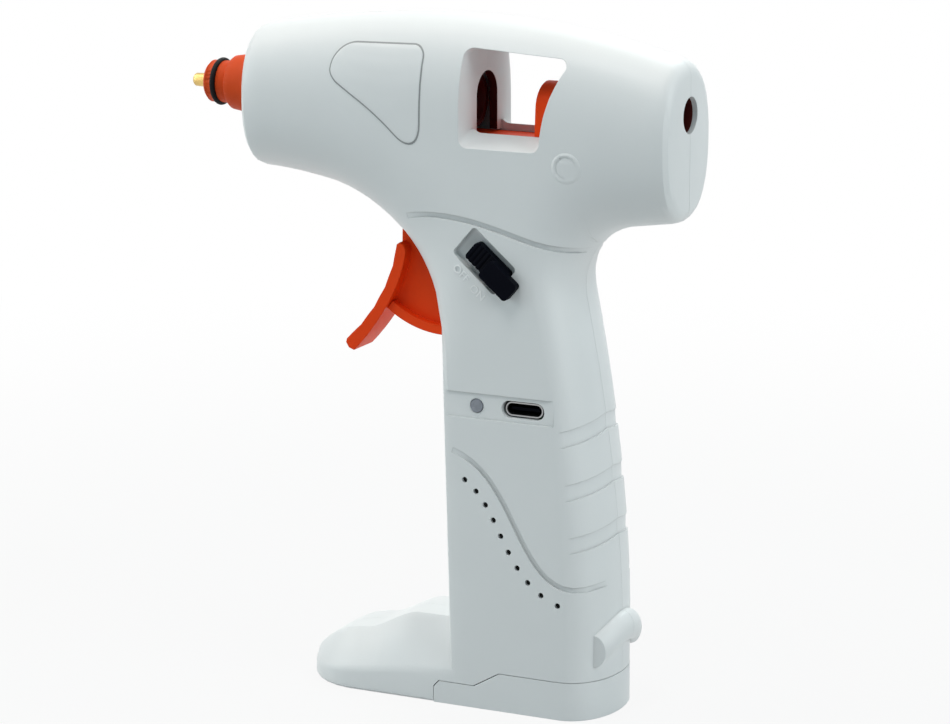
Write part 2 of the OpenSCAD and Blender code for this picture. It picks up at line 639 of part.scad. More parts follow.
// Window in one half: a flared pocket through the skin and its frame
module window_cut() {
    sill = axis_z - window_sill;
    function corners(front, low) =
        [[window_front + front - window_r, sill + low + window_r],
         [window_rear + window_r, sill + low + window_r],
         [window_rear - window_lean + window_r, axis_z + window_top - window_fall - window_r],
         [window_front + front - window_r, axis_z + window_top - window_r]];
    out = 3 / frame_deep;
    deep = (barrel_w - 0.6 - feeder_w + 0.2) / frame_deep;
    low = [window_rear, sill + window_r];
    high = [window_rear - window_lean, axis_z + window_top - window_fall - window_r];
    run = high - low;
    bulge_r = run * run / (8 * window_bulge) + window_bulge / 2;
    heart = (low + high) / 2 + [-run[1], run[0]] / norm(run) * (bulge_r - window_bulge);
    difference() {
        hull() {
            for (p = corners(out * window_flare, -out * sill_rise))
                across_y(p[0], grip_w + 2, p[1]) cylinder(r = window_r, h = 0.1, $fn = 24);
            for (p = corners(-window_flare * deep, sill_rise * deep))
                across_y(p[0], feeder_w - 0.2, p[1]) cylinder(r = window_r, h = 0.1, $fn = 24);
        }
        across_y(heart[0], feeder_w - 1, heart[1]) cylinder(r = bulge_r, h = 20, $fn = 180);
    }
}

// A drawing along the switch: its length slopes up to the front
module on_switch(y) { translate([switch_x, y, switch_z]) rotate([0, -switch_tilt, 0]) children(); }
module bar(x0, x1, y1, half) { translate([x0, 0, -half]) cube([x1 - x0, y1, 2 * half]); }
// The same with rounded corners
module pad(x0, x1, y1, half, r) {
    bar(x0 + r, x1 - r, y1, half);
    bar(x0, x1, y1, half - r);
    for (x = [x0 + r, x1 - r]) for (z = [r - half, half - r]) across_y(x, 0, z) cylinder(r = r, h = y1,
        $fn = 24);
}

// Walls and ribs inside one half
module ribs() {
    // wall ahead of the window, with its arch
    difference() {
        translate([window_front - window_flare, -2, floor_z + run_gap]) cube([arch_wall, 20, 40]);
        translate([0, 0, arch_up]) on_axis(window_front - 5) cylinder(r = arch_w, h = 20);
        translate([window_front - 5, -arch_w, axis_z + arch_up - 20]) cube([20, 2 * arch_w, 20]);
    }
    // sill of the window and the rail below it
    translate([window_rear - window_lean - 2, feeder_w + run_gap, rail_top - 1.2])
        cube([window_front - window_rear + window_lean + 2, 10,
            floor_z - rail_top + window_sill - floor_drop + sill_rise + 0.8]);
    translate([feeder_rear - 3, feeder_w - 0.8, rail_top - 1.8]) cube([10 - feeder_rear, 10, 1.8]);
    // cradles of the melt chamber
    for (x = [chamber_x + run_gap, heater_x + heater_len + heater_out + run_gap])
        difference() {
            translate([x, -2, axis_z - 40]) cube([cradle_t, 20, 80]);
            on_axis(x - 1) cylinder(r = chamber_r + seat_gap, h = cradle_t + 2);
        }
    // bosses of the pivot and of the screws
    across_y(pivot_x, bay_half, pivot_z) cylinder(r = hub_r, h = 20);
    for (p = screw_places) across_y(p[0], -2, p[1]) cylinder(r = boss_r, h = 25);
    // cradles of the cell
    for (z = [cell_z + 8, cell_top - 8])
        difference() {
            translate([-60, -2, z]) cube([80, 20, 2]);
            translate([cell_x, 0, z - 1]) cylinder(r = cell_r + seat_gap, h = 4);
        }
    // ledges of the circuit board
    for (x = [board_front - 2, board_rear - 8]) translate([x, 4.5, board_low - 1.6]) cube([10, 5, 1.6]);
    // pad behind the switch recess
    on_switch(recess_floor - 2) bar(-8.5, 8.5, 8, 5.6);
}

// Grip channels that follow the skin from the side to the middle of the back
function back_point(a, z, out) =
    let (n = back_n, w = grip_w, d = back_round(z), c = cos(a), t = sin(a),
         slope = [-pow(t, 2 - 2 / n) / d, pow(c, 2 - 2 / n) / w], face = slope / norm(slope))
    [grip_rear_at(z) + d * (1 - pow(t, 2 / n)) + face[0] * out, w * pow(c, 2 / n) + face[1] * out, z];
function channel_ring(a, z) =
    let (low = z + channel_rise * a / 90 - channel_h / 2, top = low + channel_h,
         deep = channel_deep * ease((a - 6) / 22))
    [back_point(a, low, -deep), back_point(a, top, -deep / 2), back_point(a, top, 3), back_point(a,
        low, 3)];
module channels() {
    for (i = [0:channel_count - 1])
        let (z = channel_z + i * channel_step, last = channel_ring(90, z))
            skin(concat([for (a = [11, 16, 22, 30, 40, 50, 60, 70, 80]) channel_ring(a, z)],
                        [last], [[for (q = last) q - [0, 1, 0]]]));
}

// Stop ridge across the heel of one half
function heel_x(y) = grip_heel + back_round(ridge_z) * (1 - oval(y / grip_w, back_n));
function ridge_ring(y) =
    let (x = heel_x(y), z = ridge_z - ridge_fall * pow(y / ridge_half, 2))
    concat([for (a = [-90:15:90]) [x - ridge_out * cos(a), y, z + ridge_r * sin(a)]],
           [[x + 1.6, y, z + ridge_r], [x + 1.6, y, z - ridge_r]]);
module stop_ridge() { skin([for (k = [0:8]) ridge_ring(mix(seam_gap / 2, ridge_half, k / 8))]); }

// One half of the housing, without the cuts of its own side
module shell_half() {
    difference() {
        union() {
            housing_half();
            foot_solid();
            stop_ridge();
        }
        difference() {
            cavity_half();
            ribs();
        }
        window_cut();
        // openings at both ends, on the stick axis
        on_axis(front_x - 8) cylinder(r = sleeve_r + run_gap, h = 20);
        on_axis(rear_x - 5) cylinder(r = stick_r, h = 12);
        // bay of the trigger, and the seat of its pin
        translate([pivot_x - 19, -1, pivot_z - trigger_rim_r - 2 * run_gap]) cube([31, 1 + bay_half,
            trigger_rim_r + lever + 5]);
        across_y(pivot_x, bay_half - 1, pivot_z) cylinder(r = pivot_r + seat_gap / 2,
            h = pivot_half - bay_half + 1.2);
        // place of the battery cover, and the grooves for its hooks
        side_slab(-1, 30) cover_outline(cover_gap);
        translate([tab_front - tab_len - cover_slide - 0.6, 0, cover_z + 1])
            cube([tab_len + cover_slide + 1.2, skin_in + 1, 2.2]);
        translate([tab_front - tab_len - cover_slide - 0.6, 0, cover_z - 1])
            cube([tab_len + cover_slide + 1.2, tab_out + run_gap / 2, 3]);
        // hollow of the foot
        translate([4, -1, cover_floor]) cube([8, grip_w - 2, foot_side_z - 1.4 - cover_floor]);
        // styling of the skin
        skin_groove(neck_line);
        skin_groove(side_curve);
        channels();
        for (i = [0:vent_count - 1])
            across_y(vent_at(i / (vent_count - 1))[0], 8, vent_at(i / (vent_count - 1))[1])
                cylinder(r = vent_r, h = 10, $fn = 20);
    }
}

module left_shell() {
    color("whitesmoke") difference() {
        shell_half();
        // band, port opening and lamp hole
        translate([cell_x - 9, grip_w - band_deep, port_z - band_h / 2]) cube([40, 5, band_h]);
        across_y(port_x - 3.2, 9, port_z) cylinder(r = port_h / 2 + 0.35, h = 10);
        across_y(port_x + 3.2, 9, port_z) cylinder(r = port_h / 2 + 0.35, h = 10);
        translate([port_x - 3.2, 9, port_z - port_h / 2 - 0.35]) cube([6.4, 10, port_h + 0.7]);
        across_y(lamp_x, 9, port_z) cylinder(r = lamp_r + seat_gap, h = 10);
        // recess and slot of the switch
        on_switch(recess_floor) pad(-recess_len / 2, recess_len / 2, 8, recess_w / 2, recess_r);
        on_switch(5) bar(-nub_len - 0.5, nub_len + 0.5, 12, nub_w / 2 + 0.5);
        // round mark near the back
        difference() {
            across_y(mark_x, mark_y - 0.15, mark_z) cylinder(r = 2.65, h = 5);
            across_y(mark_x, mark_y - 1, mark_z) cylinder(r = 2.2, h = 6);
        }
        // pilot holes of the screws
        for (p = screw_places) across_y(p[0], -1, p[1]) cylinder(r = screw_r + seat_gap,
            h = screw_bite + 2);
    }
}

module right_shell() {
    color("white") mirror([0, 1, 0]) difference() {
        shell_half();
        for (p = screw_places) {
            across_y(p[0], -1, p[1]) cylinder(r = screw_r + seat_gap, h = 20);
            across_y(p[0], screw_seat, p[1]) cylinder(r = screw_head_r + seat_gap, h = 20);
        }
    }
}

module housing_screws() {
    color("dimgray") for (p = screw_places) difference() {
        union() {
            across_y(p[0], -screw_seat, p[1]) cylinder(r = screw_r, h = screw_seat + screw_bite);
            across_y(p[0], -screw_seat - screw_head_h, p[1]) cylinder(r = screw_head_r, h = screw_head_h);
        }
        for (a = [0, 90]) translate([p[0], -screw_seat - screw_head_h - 0.2, p[1]]) rotate([0, a, 0])
            translate([-1.5, 0, -0.3]) cube([3, 1.2, 0.6]);
    }
}

module battery_cover() {
    color("white") {
        difference() {
            intersection() {
                linear_extrude(cover_z + 1) union() {
                    polygon(grip_plan(0, 0));
                    translate([cell_x, -grip_w]) square([cover_front - cell_x, 2 * grip_w]);
                }
                side_slab(-30, 30) cover_outline(0);
            }
            translate([0, 0, cover_floor]) linear_extrude(20) polygon(grip_plan(0, wall - 0.4));
        }
        for (s = [0, 1]) mirror([0, s, 0]) {
            translate([tab_front - tab_len, tab_out - 1.4, cover_floor - 0.5]) cube([tab_len, 1.4,
                cover_z - cover_floor + 3.4]);
            translate([tab_front - tab_len, tab_out - 0.2, cover_z + 1.4]) cube([tab_len,
                run_gap + 0.9, 1.4]);
        }
    }
}

// A ring of the nozzle group, turned about the stick axis
module nozzle() {
    color("goldenrod") on_axis(0) rotate_extrude()
        polygon([[outlet_r, chamber_front - socket_len + seat_gap], [stem_r,
            chamber_front - socket_len + seat_gap], [stem_r, sleeve_front - 4.2],
                 [tip_r + 0.3, sleeve_front - 2.2], [tip_r + 0.3, sleeve_front + 0.6], [tip_r,
                     sleeve_front + 1], [tip_r - 0.1, tip_x - 0.4],
                 [tip_r - 0.4, tip_x], [outlet_r, tip_x]]);
}

module nozzle_sleeve() {
    step_x = front_x + sleeve_thick;
    bore = stem_r + seat_gap;
    color("orangered") difference() {
        on_axis(0) rotate_extrude()
            polygon([[bore, chamber_front], [chamber_r + seat_gap, chamber_front],
                [chamber_r + seat_gap, chamber_front - 2.6],
                     [sleeve_r + 1.3, chamber_front - 2.6], [sleeve_r + 1.3,
                         front_x - wall - seat_gap], [sleeve_r, front_x - wall - seat_gap],
                     [sleeve_r, front_x + 1], [sleeve_step_r, step_x - 0.5], [sleeve_step_r - 0.4,
                         step_x], [sleeve_cap_r, step_x],
                     [sleeve_cap_r, sleeve_front - 0.6], [sleeve_cap_r - 0.6, sleeve_front],
                         [tip_r + 0.8, sleeve_front],
                     [tip_r + 0.8, sleeve_front - 2.2], [bore, sleeve_front - 4.1]]);
        on_axis(sleeve_front - ring_back) rotate_extrude() translate([sleeve_cap_r,
            0]) circle(r = ring_d / 2, $fn = 24);
    }
}

module nozzle_ring() {
    color("#202020") on_axis(sleeve_front - ring_back) rotate_extrude() translate([sleeve_cap_r,
        0]) circle(r = ring_d / 2 - 0.01, $fn = 24);
}

module melt_chamber() {
    color("silver") difference() {
        union() {
            on_axis(chamber_x - spigot_len) cylinder(r = spigot_r, h = spigot_len + 1);
            on_axis(chamber_x) cylinder(r = chamber_r, h = chamber_front - chamber_x);
            translate([heater_x, -heater_w, axis_z - heater_drop]) cube([heater_len, 2 * heater_w,
                heater_drop]);
        }
        on_axis(chamber_x - spigot_len - 1) cylinder(r = stick_r - 0.1,
            h = chamber_front - socket_len - chamber_x + spigot_len);
        on_axis(chamber_front - socket_len - 2) cylinder(r = 1.8, h = 4);
        on_axis(chamber_front - socket_len) cylinder(r = stem_r + seat_gap / 2, h = 10);
        translate([heater_x - 1, -heater_w + 1, axis_z - heater_drop + 1.2]) cube([heater_len + 2,
            2 * heater_w - 2, heater_plate_t + seat_gap]);
    }
}

module heater_plate() {
    color("ivory") translate([heater_x - heater_out, -heater_w + 1 + seat_gap,
        axis_z - heater_drop + 1.2])
        cube([heater_len + 2 * heater_out, 2 * heater_w - 2 - 2 * seat_gap, heater_plate_t]);
}

module inlet_sleeve() {
    color("orangered") on_axis(0) rotate_extrude()
        polygon([[stick_r + 0.9, inlet_x], [inlet_r, inlet_x], [inlet_r, chamber_x],
            [spigot_r + seat_gap / 2, chamber_x],
                 [spigot_r + seat_gap / 2, chamber_x - spigot_len - 0.2], [stick_r + 0.2,
                     chamber_x - spigot_len - 0.2], [stick_r + 0.2, inlet_x + 2]]);
}

// Trigger, drawn about its pivot
paddle_n = 6 * ridge_count;
front_arc = [[11.4, -3.4], [12.2, -11.5], [17.8, -20.7], [24, -25.9]];
back_arc = [[22.2, -28.5], [15.6, -21.8], [9.9, -12], [9.2, -4.8]];
function arc_at(p, t) = bezier(p[0], p[1], p[2], p[3], t);
paddle_front = [for (k = [0:paddle_n])
    let (t = k / paddle_n, d = arc_at(front_arc, t + 0.01) - arc_at(front_arc, t - 0.01), e = [-d[1],
        d[0]] / norm(d))
    arc_at(front_arc, t) + e * ridge_high * (abs(sin(180 * ridge_count * t)) - 0.5)];
paddle_back = [for (k = [0:12]) arc_at(back_arc, k / 12)];
paddle_line = concat(paddle_front, [[24.2, -26.8], [23.5, -28]], paddle_back, [[9.6, -3.6], [10.6,
    -2.9]]);
function polar(r, a) = [r * cos(a), r * sin(a)];
module about_pivot(y0, y1) { translate([pivot_x, 0, pivot_z]) side_slab(y0, y1) children(); }
module trigger() {
    coil_side = web_half;
    rest = trigger_pull / 2;
    color("orangered") difference() {
        union() {
            about_pivot(-hub_half, coil_side) circle(r = hub_r);
            about_pivot(-hub_half, hub_half) circle(r = pivot_r + 0.7);
            about_pivot(-paddle_half, paddle_half) polygon(paddle_line);
            about_pivot(-web_half, web_half)
                polygon(concat([[-2, 3], [10.6, 3], [11.4, 0.9], [11.5, -5], [12, -10], [14.6, -16]],
                               [for (a = [-54:-2.5:-101.5]) polar(trigger_rim_r - 0.3, a)]));
            about_pivot(-trigger_rim_w, trigger_rim_w)
                polygon(concat([for (a = [-52:-2.5:-102]) polar(trigger_rim_r, a)],
                               [for (a = [-102:2.5:-52]) polar(trigger_rim_r - trigger_rim_t, a)]));
            about_pivot(-arm_half, web_half) rotate(rest) translate([-2.5, 0]) square([5, lever + 2.2]);
            about_pivot(-arm_half, arm_half) rotate(rest) translate([-2.5, 5]) square([5, lever - 2.8]);
        }
        about_pivot(-9, 9) circle(r = pivot_r + pivot_gap);
        about_pivot(-9, 9) rotate(rest) translate([-cross_pin_r - seat_gap,
            lever - cross_pin_r - run_gap]) square([2 * (cross_pin_r + seat_gap), 6]);
    }
}

module trigger_pivot_pin() {
    color("silver") across_y(pivot_x, -pivot_half, pivot_z) cylinder(r = pivot_r, h = 2 * pivot_half);
}

// Return spring of the trigger: a coil on the pin with two straight legs
spring_r = pivot_r + 1.35;
wire_r = 0.25;
coil_turns = 2;
coil_steps = 16;
function coil_at(a) =
    let (room = hub_half - web_half - 2 * run_gap - 2 * wire_r, start = web_half + run_gap + wire_r)
    [spring_r * cos(a), start + room * a / (360 * coil_turns), spring_r * sin(a)];
function coil_ring(p, d) =
    let (u = [0, 1, 0], e = cross(u, d) / norm(cross(u, d)), f = cross(d, e))
    [for (b = [0:60:300]) p + wire_r * (e * cos(b) + f * sin(b))];
module trigger_spring() {
    turn = [for (k = [0:coil_turns * coil_steps]) coil_at(360 * k / coil_steps)];
    apart = [for (i = [0:len(turn) - 1]) for (j = [i + coil_steps / 2:1:len(turn) - 1]) norm(turn[i] - turn[j])];
    echo(least_gap_of_turns = min(apart) - 2 * wire_r);
    start = turn[0] - [0, 0, 7];
    finish = turn[len(turn) - 1] + [0, 0, 6];
    line = concat([start], turn, [finish]);
    color("silver") translate([pivot_x, 0, pivot_z])
        skin([for (i = [0:len(line) - 1]) let (a = line[max(0, i - 1)], b = line[min(len(line) - 1,
            i + 1)], d = (b - a) / norm(b - a)) coil_ring(line[i], d)]);
}

// Section of the feeder's uprights, across the stick axis
module upright_section() {
    polygon(concat([[floor_drop + 0.5, -feeder_w], [floor_drop + 0.5, feeder_w]],
                   [for (a = [0:12:180]) [-upright_rise * sin(a), (feeder_w - 0.6) * cos(a)]]));
}
module feed_carriage() {
    color("orangered") difference() {
        union() {
            translate([feeder_rear, -feeder_w, floor_z - floor_t]) cube([feeder_front - feeder_rear,
                2 * feeder_w, floor_t]);
            on_axis(upright_x - upright_len) linear_extrude(upright_len) upright_section();
            on_axis(feeder_rear) linear_extrude(rear_upright_len) upright_section();
            for (s = [0, 1]) mirror([0, s, 0])
                translate([fork_x - 2.8, arm_half + run_gap, fork_z - 2.4]) cube([5.6, 2,
                    floor_z - floor_t - fork_z + 2.6]);
        }
        on_axis(feeder_rear - 1) cylinder(r = stick_r + 0.1, h = upright_x - feeder_rear + 2);
        across_y(fork_x, -9, fork_z) cylinder(r = cross_pin_r + seat_gap / 2, h = 18);
    }
}

module feed_cross_pin() {
    color("silver") across_y(fork_x, -arm_half - run_gap - 1.9, fork_z) cylinder(r = cross_pin_r,
        h = 2 * (arm_half + run_gap + 1.9));
}

module stick_gripper() {
    face = feeder_rear + rear_upright_len;
    color("gainsboro") difference() {
        union() {
            translate([face, -leaf_half, floor_z]) cube([leaf_t, 2 * leaf_half,
                floor_drop + upright_rise - 0.8]);
            translate([face, -0.6 * leaf_half, floor_z]) cube([1.2 * leaf_half, 1.2 * leaf_half, leaf_t]);
        }
        on_axis(face - 1) cylinder(r = stick_r - 0.05, h = 3);
    }
}

nub_x = -1;
module switch_knob() {
    low = -knob_len / 2 - 2.92;
    tail = low + knob_len;
    rise = grip_w + 0.3 - recess_floor - run_gap;
    color("#202020") difference() {
        union() {
            on_switch(recess_floor + run_gap) pad(-recess_len / 2 + run_gap, tail, rise, knob_w / 2,
                knob_r);
            on_switch(grip_w + run_gap) pad(low, low + thumb_len, thumb_out, knob_w / 2, knob_r);
        }
        for (i = [0:3])
            let (x = low + thumb_len + 0.8 + i * 1.1) on_switch(grip_w + 0.3 - 0.25) bar(x, x + 0.45,
                3, knob_w / 2 + 1);
        on_switch(recess_floor) bar(nub_x - nub_len / 2 - seat_gap, nub_x + nub_len / 2 + seat_gap,
            1.3, nub_w / 2 + seat_gap);
    }
}

module switch_slider() {
    color("#303030") on_switch(recess_floor - 2.4) bar(nub_x - nub_len / 2, nub_x + nub_len / 2, 3.6,
        nub_w / 2);
}

module slide_switch() {
    back = bay_half + 0.6;
    color("lightgray") difference() {
        on_switch(back) bar(-switch_len / 2, switch_len / 2, recess_floor - 2 - seat_gap - back,
            switch_w / 2);
        on_switch(recess_floor - 2.7)
            bar(nub_x - nub_len / 2 - run_gap, nub_x + nub_len / 2 + knob_travel + run_gap, 3,
                nub_w / 2 + run_gap);
    }
}

module charge_board() {
    color("darkgreen") translate([board_rear, -board_edge + 2, board_low])
        cube([board_front - board_rear, 2 * board_edge - 2, board_t]);
}

module stadium(w, h) {
    square([w - h, h], center = true);
    for (s = [-1, 1]) translate([s * (w - h) / 2, 0]) circle(r = h / 2);
}
port_mouth = grip_w - port_back;
module port_shell() {
    color("silver") translate([port_x, 0, port_z]) difference() {
        side_slab(port_mouth - port_deep, port_mouth) stadium(port_w, port_h);
        side_slab(port_mouth - port_deep + 0.4, port_mouth + 1) stadium(port_w - 0.6, port_h - 0.6);
    }
}

module port_tongue() {
    color("#202020") translate([port_x, 0, port_z]) {
        side_slab(port_mouth - port_deep + 0.4, port_mouth - port_deep + 1.6) stadium(port_w - 0.62,
            port_h - 0.62);
        translate([-3.35, port_mouth - port_deep + 1.4, -0.35]) cube([6.7, port_deep - 2.2, 0.7]);
    }
}

module charge_lamp() {
    color("lightgray") {
        across_y(lamp_x, grip_w - 6, port_z) cylinder(r = lamp_r, h = 5.4);
        across_y(lamp_x, grip_w - 7, port_z) cylinder(r = lamp_r + seat_gap / 2, h = 1);
        translate([lamp_x, grip_w - 0.6, port_z]) difference() {
            sphere(r = lamp_r);
            translate([-5, -10, -5]) cube([10, 10, 10]);
            translate([-5, 0.5, -5]) cube([10, 10, 10]);
        }
        for (s = [-1, 1]) translate([lamp_x + s * 0.9 - 0.25, grip_w - 6.9, board_top]) cube([0.5, 0.5,
            port_z - board_top]);
    }
}

module battery_cell() {
    color("steelblue") translate([cell_x, 0, cell_z]) rotate_extrude()
        polygon([[0, 0], [cell_r - 0.4, 0], [cell_r, 0.4], [cell_r, cell_len - 3.4], [cell_r - 0.5,
            cell_len - 2.9], [cell_r, cell_len - 2.4],
                 [cell_r, cell_len - 1.4], [cell_r - 0.5, cell_len - 0.9], [3.2, cell_len - 0.9], [3.2,
                     cell_len], [0, cell_len]]);
}

module positive_contact() {
    t = contact_t;
    w = 2 * contact_half;
    color("gold") {
        translate([cell_x - contact_half, -contact_half, cell_top]) cube([w, w, t]);
        translate([cell_x - contact_half, -contact_half, cell_top]) cube([t, w, board_low - cell_top]);
        translate([cell_x - w, -contact_half, board_low - t]) cube([contact_half + t, w, t]);
    }
}

module negative_contact() {
    t = contact_t;
    top = cell_z - seat_gap;
    color("gold") side_slab(-contact_half, contact_half) translate([cell_x, 0])
        polygon([[8, cover_floor], [8, cover_floor + t], [1, cover_floor + t], [-6.4, top - 1.5 * t],
            [-6.4, top - t],
                 [-contact_half, top - t], [-contact_half, top], [-6.8, top], [-6.8, top - 1.75 * t],
                     [0.6, cover_floor]]);
}

left_shell();
right_shell();
battery_cover();
nozzle();
nozzle_sleeve();
nozzle_ring();
melt_chamber();
heater_plate();
inlet_sleeve();
trigger();
trigger_pivot_pin();
trigger_spring();
feed_carriage();
feed_cross_pin();
stick_gripper();
switch_knob();
switch_slider();
slide_switch();
charge_board();
charge_lamp();
port_shell();
port_tongue();
battery_cell();
positive_contact();
negative_contact();
housing_screws();
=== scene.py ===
import json
import math

import bpy
from mathutils import Matrix, Vector, kdtree


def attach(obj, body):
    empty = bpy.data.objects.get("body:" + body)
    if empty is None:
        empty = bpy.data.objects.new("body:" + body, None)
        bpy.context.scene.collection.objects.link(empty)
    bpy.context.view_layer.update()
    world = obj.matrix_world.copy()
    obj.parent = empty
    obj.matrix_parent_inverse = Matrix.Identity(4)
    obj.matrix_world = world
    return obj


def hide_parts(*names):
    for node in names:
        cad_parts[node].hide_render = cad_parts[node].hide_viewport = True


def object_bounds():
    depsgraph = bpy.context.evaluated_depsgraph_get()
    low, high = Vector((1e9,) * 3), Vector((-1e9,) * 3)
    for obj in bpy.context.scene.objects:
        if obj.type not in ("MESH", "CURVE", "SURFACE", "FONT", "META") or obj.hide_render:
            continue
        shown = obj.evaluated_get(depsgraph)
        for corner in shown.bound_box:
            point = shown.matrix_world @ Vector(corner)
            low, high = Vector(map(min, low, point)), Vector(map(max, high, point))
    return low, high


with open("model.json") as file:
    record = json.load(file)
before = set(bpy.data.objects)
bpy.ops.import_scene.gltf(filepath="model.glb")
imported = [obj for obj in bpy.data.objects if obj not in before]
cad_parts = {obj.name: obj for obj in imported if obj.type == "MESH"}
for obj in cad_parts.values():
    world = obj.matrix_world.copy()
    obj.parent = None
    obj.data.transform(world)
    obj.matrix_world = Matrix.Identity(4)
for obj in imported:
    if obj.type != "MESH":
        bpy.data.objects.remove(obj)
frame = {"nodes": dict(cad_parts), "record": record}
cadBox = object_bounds()
mm = 0.001
print("frame loaded:", len(frame["nodes"]), "nodes")


# camera and light

cameraSpec = {
    "place": (-0.33879, 0.7045, 0.25577),  # metres, in the part's own frame
    "azimuth": 205.5,
    "elevation": 13.0,
    "lens": 136.42,
    "sensor": 36.0,
    "nearClip": 0.01,
}


def addCamera(spec):
    around, up = math.radians(spec["azimuth"]), math.radians(spec["elevation"])
    back = Vector((math.sin(around) * math.cos(up), -math.cos(around) * math.cos(up), math.sin(up)))
    bpy.ops.object.camera_add(location=spec["place"], rotation=back.to_track_quat("Z", "Y").to_euler())
    camera = bpy.context.object
    camera.name = "photoCamera"
    camera.data.lens = spec["lens"]
    camera.data.sensor_width = spec["sensor"]
    camera.data.clip_start = spec["nearClip"]
    bpy.context.scene.camera = camera


lampSpecs = [
    # name, place, size, watts, colour; all of them aim at the middle of the part
    ("topSoftbox", (0.05, -0.10, 1.00), 0.9, 3.1, (1.00, 0.87, 0.78)),
    ("keySoftbox", (0.05, 0.40, 0.95), 0.35, 2.0, (1.00, 0.98, 0.96)),
    ("rearSoftbox", (-0.95, 0.05, 0.35), 0.7, 1.95, (0.97, 0.97, 0.95)),
    ("rearHighSoftbox", (-0.80, 0.20, 0.70), 0.5, 1.9, (0.88, 0.98, 1.00)),
    ("frontSoftbox", (0.90, 0.45, 0.35), 0.7, 2.5, (0.86, 0.98, 1.00)),
    ("frontHighSoftbox", (0.75, 0.10, 0.75), 0.6, 2.3, (1.00, 0.93, 0.86)),
    ("backSoftbox", (0.00, -0.70, 0.75), 0.6, 3.0, (0.90, 1.00, 1.00)),
]
lampAim = Vector((0.0, 0.0, 0.09))


def addLamps(specs):
    for name, place, size, watts, colour in specs:
        bpy.ops.object.light_add(type="AREA", location=place)
        lamp = bpy.context.object
        lamp.name = name
        lamp.rotation_euler = (Vector(place) - lampAim).to_track_quat("Z", "Y").to_euler()
        lamp.data.shape = "DISK"
        lamp.data.size = size
        lamp.data.energy = watts
        lamp.data.color = colour


# shader writing: a wire is a socket that does sums

class Wire:
    def __init__(self, finish, socket):
        self.finish = finish
        self.socket = socket

    def sum(self, operation, other):
        return self.finish.node("ShaderNodeMath", {"operation": operation}, {0: self, 1: other})

    def __add__(self, other):
        return self.sum("ADD", other)

    def __mul__(self, other):
        return self.sum("MULTIPLY", other)

    __radd__ = __add__
    __rmul__ = __mul__


# the nodes of one material, or of the world
class Finish:
    def __init__(self, owner):
        owner.use_nodes = True
        self.owner = owner
        self.tree = owner.node_tree
        self.tree.nodes.clear()

    def node(self, kind, settings=None, sockets=None, out=0):
        made = self.tree.nodes.new(kind)
        for key, value in (settings or {}).items():
            if key == "stops":
                self.setStops(made.color_ramp, value)
            else:
                setattr(made, key, value)
        for key, value in (sockets or {}).items():
            if isinstance(value, Wire):
                self.tree.links.new(value.socket, made.inputs[key])
            else:
                made.inputs[key].default_value = value
        return Wire(self, made.outputs[out]) if len(made.outputs) else None

    def setStops(self, ramp, stops):
        while len(ramp.elements) < len(stops):
            ramp.elements.new(0.5)
        for element, (place, colour) in zip(ramp.elements, stops):
            element.position = place
            element.color = colour

    def place(self):
        return self.node("ShaderNodeTexCoord", out="Object")

    def noise(self, scale, detail=3.0, rough=0.5, where=None):
        return self.node("ShaderNodeTexNoise", {}, {
            "Vector": where or self.place(), "Scale": scale, "Detail": detail, "Roughness": rough,
        })

    def ramp(self, factor, stops):
        return self.node("ShaderNodeValToRGB", {"stops": stops}, {"Fac": factor})

    # stretches the middle of a noise over a range
    def spread(self, factor, low, high):
        return self.node("ShaderNodeMapRange", {}, {
            "Value": factor, "From Min": 0.3, "From Max": 0.7, "To Min": low, "To Max": high,
        })

    def bump(self, strength, deep, height, sockets=None):
        return self.node("ShaderNodeBump", {}, {
            "Strength": strength, "Distance": deep * mm, "Height": height, **(sockets or {}),
        })

    # 1 where the camera looks: straight, in a reflection or through glass
    def looking(self):
        rays = ("Is Camera Ray", "Is Glossy Ray", "Is Transmission Ray")
        straight, mirrored, through = (self.node("ShaderNodeLightPath", out=ray) for ray in rays)
        return (straight + mirrored + through).sum("MINIMUM", 1.0)

    def close(self, sockets):
        self.output(self.node("ShaderNodeBsdfPrincipled", {}, sockets))
        return self.owner

    def output(self, shader, kind="ShaderNodeOutputMaterial"):
        self.node(kind, {}, {"Surface": shader})


def newFinish(name):
    return Finish(bpy.data.materials.new(name))


def rgba(colour, gain=1.0):
    return tuple(c * gain for c in colour) + (1.0,)


# moulded plastic: a faint cloud in the tone, a fine spark texture, softened edges, painted shade in its
# grooves
def mouldedPlastic(name, colour, roughness, grain, grainDepth, cloud, edge, coat=0.0, shine=0.5, paintedShade=0.0):
    finish = newFinish(name)
    cloudNoise = finish.noise(38.0, 4.0)
    tone = finish.ramp(cloudNoise, [(0.35, rgba(colour, 1.0 - cloud)), (0.65, rgba(colour, 1.0 + cloud))])
    # painted shade: the tone darkens in grooves and recesses
    if paintedShade:
        tone = addPaintedShade(finish, tone, paintedShade, paintedShadeSpec)
    fine = finish.noise(grain, 2.0, 0.6)
    blur = finish.noise(140.0, 3.0)
    edges = finish.node("ShaderNodeBevel", {"samples": 8}, {"Radius": edge * mm})
    return finish.close({
        "Base Color": tone,
        "Roughness": finish.spread(blur, roughness - 0.05, roughness + 0.06),
        "Normal": finish.bump(grainDepth, 0.05, fine, {"Normal": edges}),
        "Coat Weight": coat,
        "Specular IOR Level": shine,
    })


paintedShadeSpec = {"reach": 0.9, "hollow": 0.55, "open": 0.97}  # mm; the painted shade is full when hollow, gone when open
